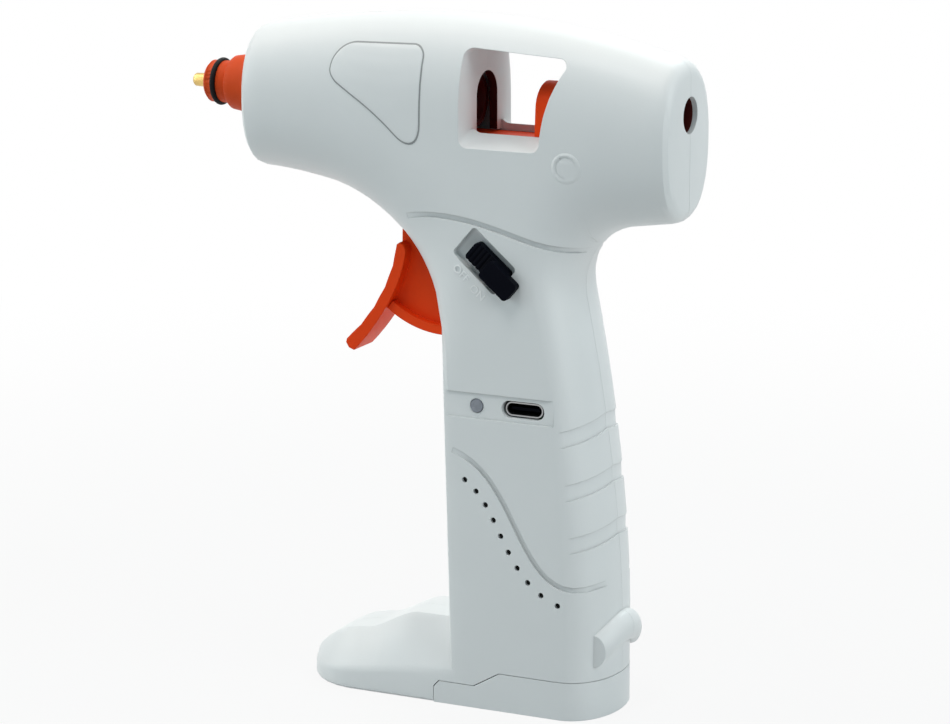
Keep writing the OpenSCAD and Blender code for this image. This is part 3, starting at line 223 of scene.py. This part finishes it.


# painted shade: a grey darkening of the tone where the surface is hollow, standing in for the shade in
# grooves and recesses
def addPaintedShade(finish, tone, paintedShade, spec):
    settings = {"samples": 8, "only_local": True}
    openness = finish.node("ShaderNodeAmbientOcclusion", settings, {"Distance": spec["reach"] * mm}, out="AO")
    unshaded = (1.0, 1.0, 1.0)
    recessShade = finish.ramp(openness, [(spec["hollow"], rgba(unshaded, 1.0 - paintedShade)), (spec["open"], rgba(unshaded))])
    mix = {"data_type": "RGBA", "blend_type": "MULTIPLY"}
    return finish.node("ShaderNodeMix", mix, {0: 1.0, 6: tone, 7: recessShade}, out=2)  # 6, 7 and 2 are its colours


# turned metal: rings of tool marks round the stick axis
def turnedMetal(name, colour, roughness, marks=2600.0):
    finish = newFinish(name)
    rings = finish.node("ShaderNodeTexWave", {"bands_direction": "X", "wave_profile": "SAW"}, {
        "Vector": finish.place(), "Scale": marks, "Distortion": 1.2, "Detail": 2.0,
    })
    stain = finish.noise(420.0, 4.0)
    edges = finish.node("ShaderNodeBevel", {"samples": 4}, {"Radius": 0.12 * mm})
    return finish.close({
        "Base Color": finish.ramp(stain, [(0.3, rgba(colour, 0.82)), (0.7, rgba(colour, 1.08))]),
        "Metallic": 1.0,
        "Roughness": finish.spread(stain, roughness - 0.06, roughness + 0.1),
        "Normal": finish.bump(0.15, 0.02, rings, {"Normal": edges}),
    })


# sheet metal: grain drawn along the length of the sheet
def drawnMetal(name, colour, roughness):
    finish = newFinish(name)
    along = finish.node("ShaderNodeMapping", {}, {"Vector": finish.place(), "Scale": (60.0, 900.0, 900.0)})
    lines = finish.noise(3.0, 3.0, 0.5, along)
    return finish.close({
        "Base Color": finish.ramp(lines, [(0.3, rgba(colour, 0.88)), (0.7, rgba(colour, 1.06))]),
        "Metallic": 1.0,
        "Roughness": finish.spread(lines, roughness - 0.06, roughness + 0.08),
        "Normal": finish.bump(0.1, 0.02, lines),
    })


# frosted lens of the charge lamp
def frostedLens(name, colour):
    finish = newFinish(name)
    cloud = finish.noise(900.0, 3.0)
    return finish.close({
        "Base Color": finish.ramp(cloud, [(0.3, rgba(colour, 0.85)), (0.7, rgba(colour, 1.12))]),
        "Roughness": finish.spread(cloud, 0.18, 0.3),
        "Normal": finish.bump(0.08, 0.02, cloud),
        "Coat Weight": 0.5,
    })


# port: bright steel along its lip, with painted shade inside, darker and less metallic deeper in; the lip is
# a Y in mm
def portMetal(name, colour, lip):
    finish = newFinish(name)
    depth = finish.node("ShaderNodeSeparateXYZ", {}, {"Vector": finish.place()}, out="Y")
    grain = finish.noise(700.0, 3.0)
    # painted shade: 0 deep in the port, nearly black and not metallic, 1 at the lip
    shade = finish.node("ShaderNodeMapRange", {}, {
        "Value": depth + grain * (0.2 * mm), "From Min": (lip - 0.5) * mm, "From Max": (lip - 0.1) * mm,
    })
    stops = [(0.0, rgba(colour, 0.02)), (0.5, rgba(colour, 0.08)), (1.0, rgba(colour, 0.55))]
    return finish.close({
        "Base Color": finish.ramp(shade, stops),
        "Metallic": shade,
        "Roughness": finish.spread(grain, 0.28, 0.42),
        "Normal": finish.bump(0.1, 0.02, grain),
    })


# circuit board: lacquer over copper tracks
def lacqueredBoard(name, colour):
    finish = newFinish(name)
    tracks = finish.node("ShaderNodeTexVoronoi", {"distance": "MANHATTAN", "feature": "DISTANCE_TO_EDGE"}, {
        "Vector": finish.place(), "Scale": 420.0,
    })
    return finish.close({
        "Base Color": finish.ramp(tracks, [(0.05, rgba(colour, 1.9)), (0.14, rgba(colour, 1.0))]),
        "Roughness": finish.spread(finish.noise(200.0), 0.22, 0.34),
        "Normal": finish.bump(0.2, 0.03, tracks),
        "Coat Weight": 0.4,
    })


# grain is the scale of the spark texture, cloud the change in tone, edge the softening in mm
plasticSpecs = {
    "whiteShell": {
        "colour": (0.80, 0.82, 0.825), "roughness": 0.42, "grain": 2600.0, "grainDepth": 0.25,
        # the last value darkens the tone in its grooves and recesses, as painted shade
        "cloud": 0.012, "edge": 0.2, "paintedShade": 0.22,
    },
    "orangePlastic": {
        "colour": (0.95, 0.065, 0.005), "roughness": 0.45, "grain": 2200.0, "grainDepth": 0.2,
        "cloud": 0.06, "edge": 0.25, "shine": 0.15,
    },
    "orangeSleeve": {
        "colour": (0.62, 0.062, 0.007), "roughness": 0.5, "grain": 1800.0, "grainDepth": 0.3,
        "cloud": 0.08, "edge": 0.25, "shine": 0.15,
    },
    # painted shade: the orange inside the stick inlet, coloured near black as it looks in shadow
    "orangePaintedShade": {
        "colour": (0.05, 0.006, 0.005), "roughness": 0.5, "grain": 1800.0, "grainDepth": 0.3,
        "cloud": 0.12, "edge": 0.2, "shine": 0.1,
    },
    # painted light: the raised words lighter than the shell, as where they catch the light
    "wordPaintedLight": {
        "colour": (0.93, 0.94, 0.945), "roughness": 0.4, "grain": 2600.0, "grainDepth": 0.1,
        "cloud": 0.01, "edge": 0.05,
    },
    "blackPlastic": {
        "colour": (0.0015, 0.002, 0.005), "roughness": 0.50, "grain": 2400.0, "grainDepth": 0.3,
        "cloud": 0.15, "edge": 0.2, "shine": 0.035,
    },
    "blackRubber": {
        "colour": (0.006, 0.006, 0.007), "roughness": 0.55, "grain": 1800.0, "grainDepth": 0.35,
        "cloud": 0.2, "edge": 0.1, "shine": 0.12,
    },
    "firedCeramic": {
        "colour": (0.72, 0.69, 0.60), "roughness": 0.6, "grain": 1500.0, "grainDepth": 0.4,
        "cloud": 0.05, "edge": 0.15,
    },
    "cellWrap": {
        "colour": (0.05, 0.16, 0.42), "roughness": 0.3, "grain": 900.0, "grainDepth": 0.1,
        "cloud": 0.06, "edge": 0.3, "coat": 0.3,
    },
    # painted shadow: the grey of the gap round the badge
    "shadowGap": {
        "colour": (0.36, 0.37, 0.375), "roughness": 0.6, "grain": 2600.0, "grainDepth": 0.1,
        "cloud": 0.05, "edge": 0.05, "shine": 0.2,
    },
}
finishes = {name: mouldedPlastic(name, **spec) for name, spec in plasticSpecs.items()}
finishes.update({
    "brass": turnedMetal("brass", (0.78, 0.55, 0.20), 0.26),
    "castAluminium": turnedMetal("castAluminium", (0.72, 0.73, 0.74), 0.38, 1400.0),
    "drawnSteel": drawnMetal("drawnSteel", (0.62, 0.63, 0.64), 0.3),
    "portSteel": portMetal("portSteel", (0.66, 0.67, 0.68), 12.8),
    "contactStrip": drawnMetal("contactStrip", (0.80, 0.62, 0.28), 0.3),
    "frostedLens": frostedLens("frostedLens", (0.23, 0.25, 0.29)),
    "lacqueredBoard": lacqueredBoard("lacqueredBoard", (0.012, 0.10, 0.035)),
})
print("finishes made:", len(finishes))


# the modelling steps that several pieces share

def dropSelection():
    if bpy.context.object and bpy.context.object.mode != "OBJECT":
        bpy.ops.object.mode_set(mode="OBJECT")
    bpy.ops.object.select_all(action="DESELECT")


def pick(piece):
    dropSelection()
    piece.select_set(True)
    bpy.context.view_layer.objects.active = piece


# puts a new primitive's place into its mesh
def settle(name):
    bpy.ops.object.transform_apply(location=True, rotation=True, scale=True)
    piece = bpy.context.object
    piece.name = name
    return piece


# leaves the piece in edit mode, with only the wanted vertices or faces selected
def selectWanted(piece, kind, wanted):
    bpy.ops.object.mode_set(mode="EDIT")
    bpy.ops.mesh.select_mode(type=kind)
    bpy.ops.mesh.select_all(action="DESELECT")
    bpy.ops.object.mode_set(mode="OBJECT")
    for element in piece.data.polygons if kind == "FACE" else piece.data.vertices:
        element.select = wanted(element)
    bpy.ops.object.mode_set(mode="EDIT")


# selects the vertex nearest to each place
def selectNear(piece, places):
    vertices = piece.data.vertices
    bpy.ops.object.mode_set(mode="OBJECT")
    nearest = {min(vertices, key=lambda v: (v.co - place).length).index for place in places}
    selectWanted(piece, "VERT", lambda v: v.index in nearest)


# offset -1 keeps the outer face in place, 0 grows both ways
def thicken(piece, thickness, offset=-1.0):
    wall = piece.modifiers.new("wall", "SOLIDIFY")
    wall.thickness = thickness * mm
    wall.offset = offset
    bpy.ops.object.modifier_apply(modifier="wall")


def softenEdges(piece, width, angle):
    soft = piece.modifiers.new("soft", "BEVEL")
    soft.width = width * mm
    soft.segments = 2
    soft.limit_method = "ANGLE"
    soft.angle_limit = math.radians(angle)
    bpy.ops.object.modifier_apply(modifier="soft")


def mergeDoubles(reach):
    bpy.ops.object.mode_set(mode="EDIT")
    bpy.ops.mesh.select_all(action="SELECT")
    bpy.ops.mesh.remove_doubles(threshold=reach * mm)
    bpy.ops.object.mode_set(mode="OBJECT")


def turnFacesOut():
    bpy.ops.object.mode_set(mode="EDIT")
    bpy.ops.mesh.select_all(action="SELECT")
    bpy.ops.mesh.normals_make_consistent(inside=False)
    bpy.ops.object.mode_set(mode="OBJECT")


# smooth faces, with a break in the shading at each edge that turns by more than the angle
def softShade(piece, angle):
    pick(piece)
    bpy.ops.object.mode_set(mode="EDIT")
    bpy.ops.mesh.select_mode(type="EDGE")
    bpy.ops.mesh.select_all(action="SELECT")
    bpy.ops.mesh.faces_shade_smooth()
    bpy.ops.mesh.mark_sharp(clear=True)
    bpy.ops.mesh.select_all(action="DESELECT")
    bpy.ops.mesh.edges_select_sharp(sharpness=math.radians(angle))
    bpy.ops.mesh.mark_sharp()
    bpy.ops.object.mode_set(mode="OBJECT")


def dress(piece, finish):
    piece.data.materials.clear()
    piece.data.materials.append(finishes[finish])


# a new piece on the housing
def mountOnHousing(piece, finish, shadeAngle):
    softShade(piece, shadeAngle)
    dress(piece, finish)
    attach(piece, "housing")


# every CAD node: its finish, its slot in the record and the angle that its shading breaks at
nodeSpecs = {
    "left_shell": ("whiteShell", "white_shell", 28),
    "right_shell": ("whiteShell", "white_shell", 28),
    "battery_cover": ("whiteShell", "white_shell", 28),
    "nozzle": ("brass", "brass", 35),
    "nozzle_sleeve": ("orangeSleeve", "orange_plastic", 35),
    "nozzle_ring": ("blackRubber", "black_rubber", 60),
    "melt_chamber": ("castAluminium", "aluminium", 35),
    "heater_plate": ("firedCeramic", "ceramic", 35),
    # the inlet sleeve is orange plastic, coloured near black as painted shade
    "inlet_sleeve": ("orangePaintedShade", "orange_plastic", 35),
    "trigger": ("orangePlastic", "orange_plastic", 30),
    "trigger_pivot_pin": ("drawnSteel", "steel", 35),
    "trigger_spring": ("drawnSteel", "steel", 70),
    "feed_carriage": ("orangePlastic", "orange_plastic", 30),
    "feed_cross_pin": ("drawnSteel", "steel", 35),
    "stick_gripper": ("drawnSteel", "steel", 35),
    "switch_knob": ("blackPlastic", "black_plastic", 30),
    "switch_slider": ("blackPlastic", "black_plastic", 30),
    "slide_switch": ("drawnSteel", "steel", 30),
    "charge_board": ("lacqueredBoard", "board", 30),
    "charge_lamp": ("frostedLens", "lamp", 40),
    "port_shell": ("portSteel", "steel", 35),
    "port_tongue": ("blackPlastic", "black_plastic", 30),
    "battery_cell": ("cellWrap", "cell_wrap", 35),
    "positive_contact": ("contactStrip", "brass", 30),
    "negative_contact": ("contactStrip", "brass", 30),
    "housing_screws": ("drawnSteel", "steel", 35),
}
mergeReach = 0.002  # mm, joins the loose triangles of a CAD node
easeSpec = {"reach": 2.6, "turn": 24.0, "step": 1.0, "mostParts": 8}  # mm, degrees


def bodyOf(node):
    return next(name for name, nodes in frame["record"]["behaviour"]["bodies"].items() if node in nodes)


# places spread over a mesh, each with its face's normal and its share of the area
def spotsOver(mesh, step, mostParts):
    mesh.calc_loop_triangles()
    spots, faces, shares = [], [], []
    for tri in mesh.loop_triangles:
        a, b, c = (mesh.vertices[k].co for k in tri.vertices)
        longest = max((a - b).length, (b - c).length, (c - a).length)
        parts = min(mostParts, 1 + int(longest / step))
        facing, share = tri.normal.copy(), tri.area / (parts * (parts + 1) / 2)
        for i in range(parts):
            for j in range(parts - i):
                spots.append(a + (b - a) * ((i + 1 / 3) / parts) + (c - a) * ((j + 1 / 3) / parts))
                faces.append(facing)
                shares.append(share)
    return spots, faces, shares


# one smooth field of normals over a faceted skin, so that cuts leave no streaks in its shading
def easeNormals(piece, spec):
    mesh, reach = piece.data, spec["reach"] * mm
    spots, faces, shares = spotsOver(mesh, spec["step"] * mm, spec["mostParts"])
    tree = kdtree.KDTree(len(spots))
    for k, spot in enumerate(spots):
        tree.insert(spot, k)
    tree.balance()
    limit = math.cos(math.radians(spec["turn"]))
    known, eased = {}, []
    for corner, normal in zip(mesh.loops, mesh.corner_normals):
        facing = normal.vector.copy()
        key = (corner.vertex_index, round(facing.x, 2), round(facing.y, 2), round(facing.z, 2))
        if key not in known:
            total = Vector()
            for spot, k, far in tree.find_range(mesh.vertices[corner.vertex_index].co, reach):
                if faces[k].dot(facing) > limit:
                    total += faces[k] * (shares[k] * (1 - far / reach))
            known[key] = total.normalized() if total.length > 0 else facing
        eased.append(known[key])
    mesh.normals_split_custom_set(eased)
    print("normals eased:", piece.name, len(spots), "spots", len(known), "corners")


# a copy of a node with its triangles joined, so that its curves shade smoothly
def smoothCopy(node, finish, angle):
    pick(frame["nodes"][node])
    bpy.ops.object.duplicate()
    piece = bpy.context.object
    piece.name = node + "Skin"
    mergeDoubles(mergeReach)
    softShade(piece, angle)
    weigh = piece.modifiers.new("weigh", "WEIGHTED_NORMAL")
    weigh.keep_sharp = True
    bpy.ops.object.modifier_apply(modifier="weigh")
    if finish == "whiteShell":
        easeNormals(piece, easeSpec)
    dress(piece, finish)
    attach(piece, bodyOf(node))
    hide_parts(node)
    return piece


skins = {}
for node, (finish, slot, angle) in nodeSpecs.items():
    skins[node] = smoothCopy(node, finish, angle)
print("nodes dressed:", len(skins))


# thin plates on the left half: they start flat, outside the skin, and drop onto it
plateSpec = {"start": 30.0, "wall": 0.4, "soft": 0.06, "softAngle": 50, "shadeAngle": 35}  # mm, degrees
faceLeft = (math.radians(-90), 0, 0)


# cuts a flat plate into strips, bends it to the skin and gives it a thickness
def wrapPlate(piece, acrossSpan, heightSpan, step, high, finish, rise=None):
    pick(piece)
    bpy.ops.object.mode_set(mode="EDIT")
    for facing, (start, stop) in ((Vector((1, 0, 0)), acrossSpan), (Vector((0, 0, 1)), heightSpan)):
        for k in range(int((stop - start) / step)):
            bpy.ops.mesh.select_all(action="SELECT")
            bpy.ops.mesh.bisect(plane_co=facing * (start + k * step) * mm, plane_no=facing)
    bpy.ops.object.mode_set(mode="OBJECT")
    wrap = piece.modifiers.new("wrap", "SHRINKWRAP")
    wrap.target = skins["left_shell"]
    wrap.wrap_method = "PROJECT"
    wrap.use_project_y = True
    wrap.use_negative_direction = True
    wrap.use_positive_direction = True
    wrap.offset = high * mm
    bpy.ops.object.modifier_apply(modifier="wrap")
    if rise:
        for vertex in piece.data.vertices:
            vertex.co.y += rise(vertex.co) * mm
    thicken(piece, plateSpec["wall"])
    softenEdges(piece, plateSpec["soft"], plateSpec["softAngle"])
    turnFacesOut()
    mountOnHousing(piece, finish, plateSpec["shadeAngle"])


# badge on the barrel: a bare plate with rounded corners over a thin grey plate, painted shadow for the gap
# round it
badgeSpec = {
    # X, Z and rounding, mm, from the top at the front round to the bottom at the front
    "corners": [(26.3, 146.8, 5.6), (4.2, 147.4, 2.6), (4.5, 122.7, 7.6), (26.4, 139.5, 2.4)],
    "waist": (14.9, 132.3, 5.0),
    "half": 12.0,
    "segments": 10,
    "acrossSpan": (2.0, 28.0),
    "heightSpan": (121.0, 149.0),
    "step": 1.2,
    "gap": 0.36,
    "gapHigh": 0.07,
    "high": 0.16,
}


# the outline's corners, pushed outwards by the same distance all round
def grownCorners(corners, grow):
    grown = []
    for k, (x, z, radius) in enumerate(corners):
        here, before, after = (Vector(corners[j % len(corners)][:2]) for j in (k, k - 1, k + 1))
        first, second = (here - before).normalized(), (after - here).normalized()
        out = Vector((first.y + second.y, -first.x - second.x)) / (1 + first.dot(second))
        bend = math.atan2(first.cross(second), first.dot(second))
        grown.append((x + out.x * grow, z + out.y * grow, radius + grow * math.tan(bend / 2)))
    return grown


def addBadge(name, spec, grow, high, finish):
    loop = grownCorners(spec["corners"][:3] + [spec["waist"]] + spec["corners"][3:], grow)
    loop = [(Vector((x, plateSpec["start"], z)) * mm, radius) for x, z, radius in loop]
    corners, (waist, waistRadius) = loop[:3] + loop[4:], loop[3]
    middle = sum((place for place, radius in corners), Vector()) / len(corners)
    dropSelection()
    bpy.ops.mesh.primitive_plane_add(size=2 * spec["half"] * mm, location=middle, rotation=faceLeft)
    piece = settle(name)
    sides = ((1, 1), (-1, 1), (-1, -1), (1, -1))
    starts = [middle + Vector((x, 0, z)) * spec["half"] * mm for x, z in sides]
    selectNear(piece, starts[2:])
    bpy.ops.mesh.subdivide(number_cuts=1)
    foot = (starts[2] + starts[3]) / 2
    for start, place in zip(starts + [foot], [place for place, radius in corners] + [waist]):
        selectNear(piece, [start])
        bpy.ops.transform.translate(value=place - start)
    for place, radius in corners + [(waist, waistRadius)]:
        selectNear(piece, [place])
        bpy.ops.mesh.bevel(
            offset=radius * mm, offset_type="OFFSET", segments=spec["segments"], affect="VERTICES")
    wrapPlate(piece, spec["acrossSpan"], spec["heightSpan"], spec["step"], high, finish)


addBadge("badgeGap", badgeSpec, badgeSpec["gap"], badgeSpec["gapHigh"], "shadowGap")
addBadge("badgePlate", badgeSpec, 0.0, badgeSpec["high"], "whiteShell")
print("badge made")


# round mark behind the window: a shallow dish with a low rim round it
markSpec = {
    "middle": (-30.5, 123.3),
    "rise": [(0.0, 0.04), (2.3, 0.04), (2.8, 0.12), (3.4, 0.0)],  # radius and height, mm
    "sides": 64,
    "step": 0.7,
}


def riseAt(rise, far):
    for (near, low), (edge, high) in zip(rise, rise[1:]):
        if far <= edge:
            return low + (high - low) * (far - near) / (edge - near)
    return rise[-1][1]


def addMark(spec):
    dropSelection()
    middle = Vector((spec["middle"][0], plateSpec["start"], spec["middle"][1])) * mm
    radii = [radius for radius, high in spec["rise"]][:0:-1]  # from the outside inwards, without the middle
    bpy.ops.mesh.primitive_circle_add(
        vertices=spec["sides"], radius=radii[0] * mm, fill_type="NGON", location=middle, rotation=faceLeft)
    piece = settle("markDish")
    bpy.ops.object.mode_set(mode="EDIT")
    for outer, inner in zip(radii, radii[1:]):
        bpy.ops.mesh.inset(thickness=(outer - inner) * mm, depth=0.0)
    bpy.ops.object.mode_set(mode="OBJECT")
    acrossSpan, heightSpan = ((m - radii[0], m + radii[0]) for m in spec["middle"])
    wrapPlate(
        piece, acrossSpan, heightSpan, spec["step"], 0.0, "whiteShell",
        lambda co: riseAt(spec["rise"], Vector((co.x - middle.x, co.z - middle.z)).length / mm))


addMark(markSpec)
print("mark made")


# dark bush in the stick inlet at the rear, painted shade: the orange inside as it looks in shadow
inletShadeSpec = {
    "axisHeight": 134.5,  # mm
    "rear": -52.5,
    "front": -47.0,
    "radius": 3.97,
    "wall": 0.14,
    "soft": 0.04,
    "softAngle": 30,  # degrees
    "shadeAngle": 35,
    "sides": 72,
}
faceForward = (0, math.radians(90), 0)


def addInletShade(spec):
    dropSelection()
    place = Vector(((spec["rear"] + spec["front"]) / 2, 0, spec["axisHeight"])) * mm
    bpy.ops.mesh.primitive_cylinder_add(
        vertices=spec["sides"], radius=spec["radius"] * mm, depth=(spec["front"] - spec["rear"]) * mm,
        end_fill_type="NOTHING", location=place, rotation=faceForward)
    piece = settle("inletPaintedShade")
    thicken(piece, spec["wall"])
    softenEdges(piece, spec["soft"], spec["softAngle"])
    mountOnHousing(piece, "orangePaintedShade", spec["shadeAngle"])


addInletShade(inletShadeSpec)
print("bush made")


# dark lining of the arch ahead of the window, painted shade: the orange inside as it looks in shadow
archShadeSpec = {
    "rear": -5.64,  # mm
    "front": -3.86,
    "radius": 5.27,
    "middle": 135.9,
    "foot": 127.45,
    "wall": 0.15,
    "slack": 0.01,  # keeps the two lowest points of the half circle
    "shadeAngle": 35,
    "sides": 72,
}


def extrudeBy(x, z):
    bpy.ops.mesh.extrude_region_move(TRANSFORM_OT_translate={"value": (x * mm, 0, z * mm)})


def addArchShade(spec):
    dropSelection()
    place = Vector((spec["rear"], 0, spec["middle"])) * mm
    bpy.ops.mesh.primitive_circle_add(
        vertices=spec["sides"], radius=spec["radius"] * mm, location=place, rotation=faceForward)
    piece = settle("archPaintedShade")
    selectWanted(piece, "VERT", lambda v: v.co.z < (spec["middle"] - spec["slack"]) * mm)
    bpy.ops.mesh.delete(type="VERT")
    selectNear(piece, [place + Vector((0, side * spec["radius"] * mm, 0)) for side in (-1, 1)])
    extrudeBy(0, spec["foot"] - spec["middle"])
    bpy.ops.mesh.select_all(action="SELECT")
    extrudeBy(spec["front"] - spec["rear"], 0)
    bpy.ops.object.mode_set(mode="OBJECT")
    thicken(piece, spec["wall"], 0.0)
    turnFacesOut()
    mountOnHousing(piece, "orangePaintedShade", spec["shadeAngle"])


addArchShade(archShadeSpec)
print("arch lined")


# painted shade in the vent holes of both halves: black discs behind the holes, along a bezier curve in X and
# Z
ventSpec = {
    "line": ((-6.9, 52.3), (-16.1, 46.3), (-16.0, 30.7), (-29.4, 26.2)),  # mm
    "count": 10,
    "radius": 0.6,
    "deep": 13.1,
    "thick": 0.4,
    "lip": 0.12,
    "dish": 0.1,
    "shadeAngle": 40,
    "sides": 20,
}


def ventPlace(line, t):
    shares = ((1 - t) ** 3, 3 * t * (1 - t) ** 2, 3 * t * t * (1 - t), t ** 3)
    return [sum(share * point[k] for share, point in zip(shares, line)) for k in (0, 1)]


def addVentShade(spec):
    dropSelection()
    bpy.ops.mesh.primitive_cylinder_add(
        vertices=spec["sides"], radius=spec["radius"] * mm, depth=spec["thick"] * mm,
        rotation=(math.radians(90), 0, 0))
    first = settle("ventPaintedShade")
    selectWanted(first, "FACE", lambda face: abs(face.normal.y) > 0.9)  # both ends
    bpy.ops.mesh.inset(thickness=spec["lip"] * mm, depth=-spec["dish"] * mm, use_individual=True)
    bpy.ops.object.mode_set(mode="OBJECT")
    made = []
    for k in range(spec["count"]):
        x, z = ventPlace(spec["line"], k / (spec["count"] - 1))
        for side in (-1, 1):
            pick(first)
            if made:
                bpy.ops.object.duplicate()
            made.append(bpy.context.object)
            made[-1].location = Vector((x, side * spec["deep"], z)) * mm
    dropSelection()
    for piece in made:
        piece.select_set(True)
    bpy.context.view_layer.objects.active = first
    bpy.ops.object.join()
    # the black discs are painted shade in the holes
    mountOnHousing(settle("ventPaintedShade"), "blackRubber", spec["shadeAngle"])


addVentShade(ventSpec)
print("gauze made")


# raised words beside the slide switch, coloured lighter than the shell as painted light
wordSpecs = {
    "wordOff": {"body": "OFF", "middle": (-6.1, 98.6)},
    "wordOn": {"body": "ON", "middle": (-10.0, 94.6)},
}
letterSpec = {
    "size": 2.5,  # mm
    "raise": 0.14,
    "bevel": 0.02,
    "skin": 13.9,
    "merge": 0.0005,
    "tilt": 40.5,  # degrees
    "shadeAngle": 30,
}


def addWord(name, spec, letters):
    dropSelection()
    bpy.ops.object.text_add(location=(0, 0, 0))
    text = bpy.context.object.data
    text.body = spec["body"]
    text.align_x = "CENTER"
    text.align_y = "CENTER"
    text.size = letters["size"] * mm
    text.extrude = letters["raise"] * mm
    text.bevel_depth = letters["bevel"] * mm
    bpy.ops.object.convert(target="MESH")
    piece = bpy.context.object
    tilt = math.radians(letters["tilt"])
    along = Vector((-math.cos(tilt), 0, -math.sin(tilt)))
    upward = Vector((-math.sin(tilt), 0, math.cos(tilt)))
    turn = Matrix((along, upward, along.cross(upward))).transposed()
    piece.rotation_euler = turn.to_euler()
    piece.location = Vector((spec["middle"][0], letters["skin"], spec["middle"][1])) * mm
    piece = settle(name)
    mergeDoubles(letters["merge"])
    turnFacesOut()
    mountOnHousing(piece, "wordPaintedLight", letters["shadeAngle"])


for name, spec in wordSpecs.items():
    addWord(name, spec, letterSpec)
print("words made:", len(wordSpecs))


# stage: pale paper that glows white further out, and a white backdrop

stageSpec = {
    "half": 4.0,  # metres
    "drop": 0.02,  # mm below the part
    "tone": (0.55, 0.555, 0.56),
    "nearEdge": 0.12,
    "farEdge": 0.45,
    "nearGlow": 0.88,
    "ambient": (0.66, 0.91, 1.0),
    "ambientStrength": 0.22,
}
white = (1, 1, 1, 1)


def addFloor(spec):
    dropSelection()
    level = cadBox[0][2] - spec["drop"] * mm
    bpy.ops.mesh.primitive_plane_add(size=2 * spec["half"], location=(0, 0, level))
    floor = bpy.context.object
    floor.name = "studioFloor"
    finish = newFinish("studioFloor")
    reach = finish.node("ShaderNodeVectorMath", {"operation": "LENGTH"}, {0: finish.place()}, out="Value")
    fade = finish.node("ShaderNodeMapRange", {"interpolation_type": "SMOOTHSTEP"}, {
        "Value": reach, "From Min": spec["nearEdge"], "From Max": spec["farEdge"], "To Min": spec["nearGlow"],
    })
    paper = finish.node("ShaderNodeBsdfDiffuse", {}, {"Color": rgba(spec["tone"])})
    glow = finish.node("ShaderNodeEmission", {}, {"Color": white, "Strength": 1.0})
    finish.output(finish.node("ShaderNodeMixShader", {}, {0: finish.looking() * fade, 1: paper, 2: glow}))
    floor.data.materials.append(finish.owner)


def addBackdrop(spec):
    studio = Finish(bpy.data.worlds.new("studio"))
    bpy.context.scene.world = studio.owner
    backdrop = studio.node("ShaderNodeBackground", {}, {"Color": white, "Strength": 1.0})
    ambient = studio.node("ShaderNodeBackground", {}, {
        "Color": rgba(spec["ambient"]), "Strength": spec["ambientStrength"],
    })
    shown = studio.node("ShaderNodeMixShader", {}, {0: studio.looking(), 1: ambient, 2: backdrop})
    studio.output(shown, "ShaderNodeOutputWorld")


addFloor(stageSpec)
addBackdrop(stageSpec)
addLamps(lampSpecs)
addCamera(cameraSpec)
bpy.context.scene.view_settings.view_transform = "Standard"
print("stage set")
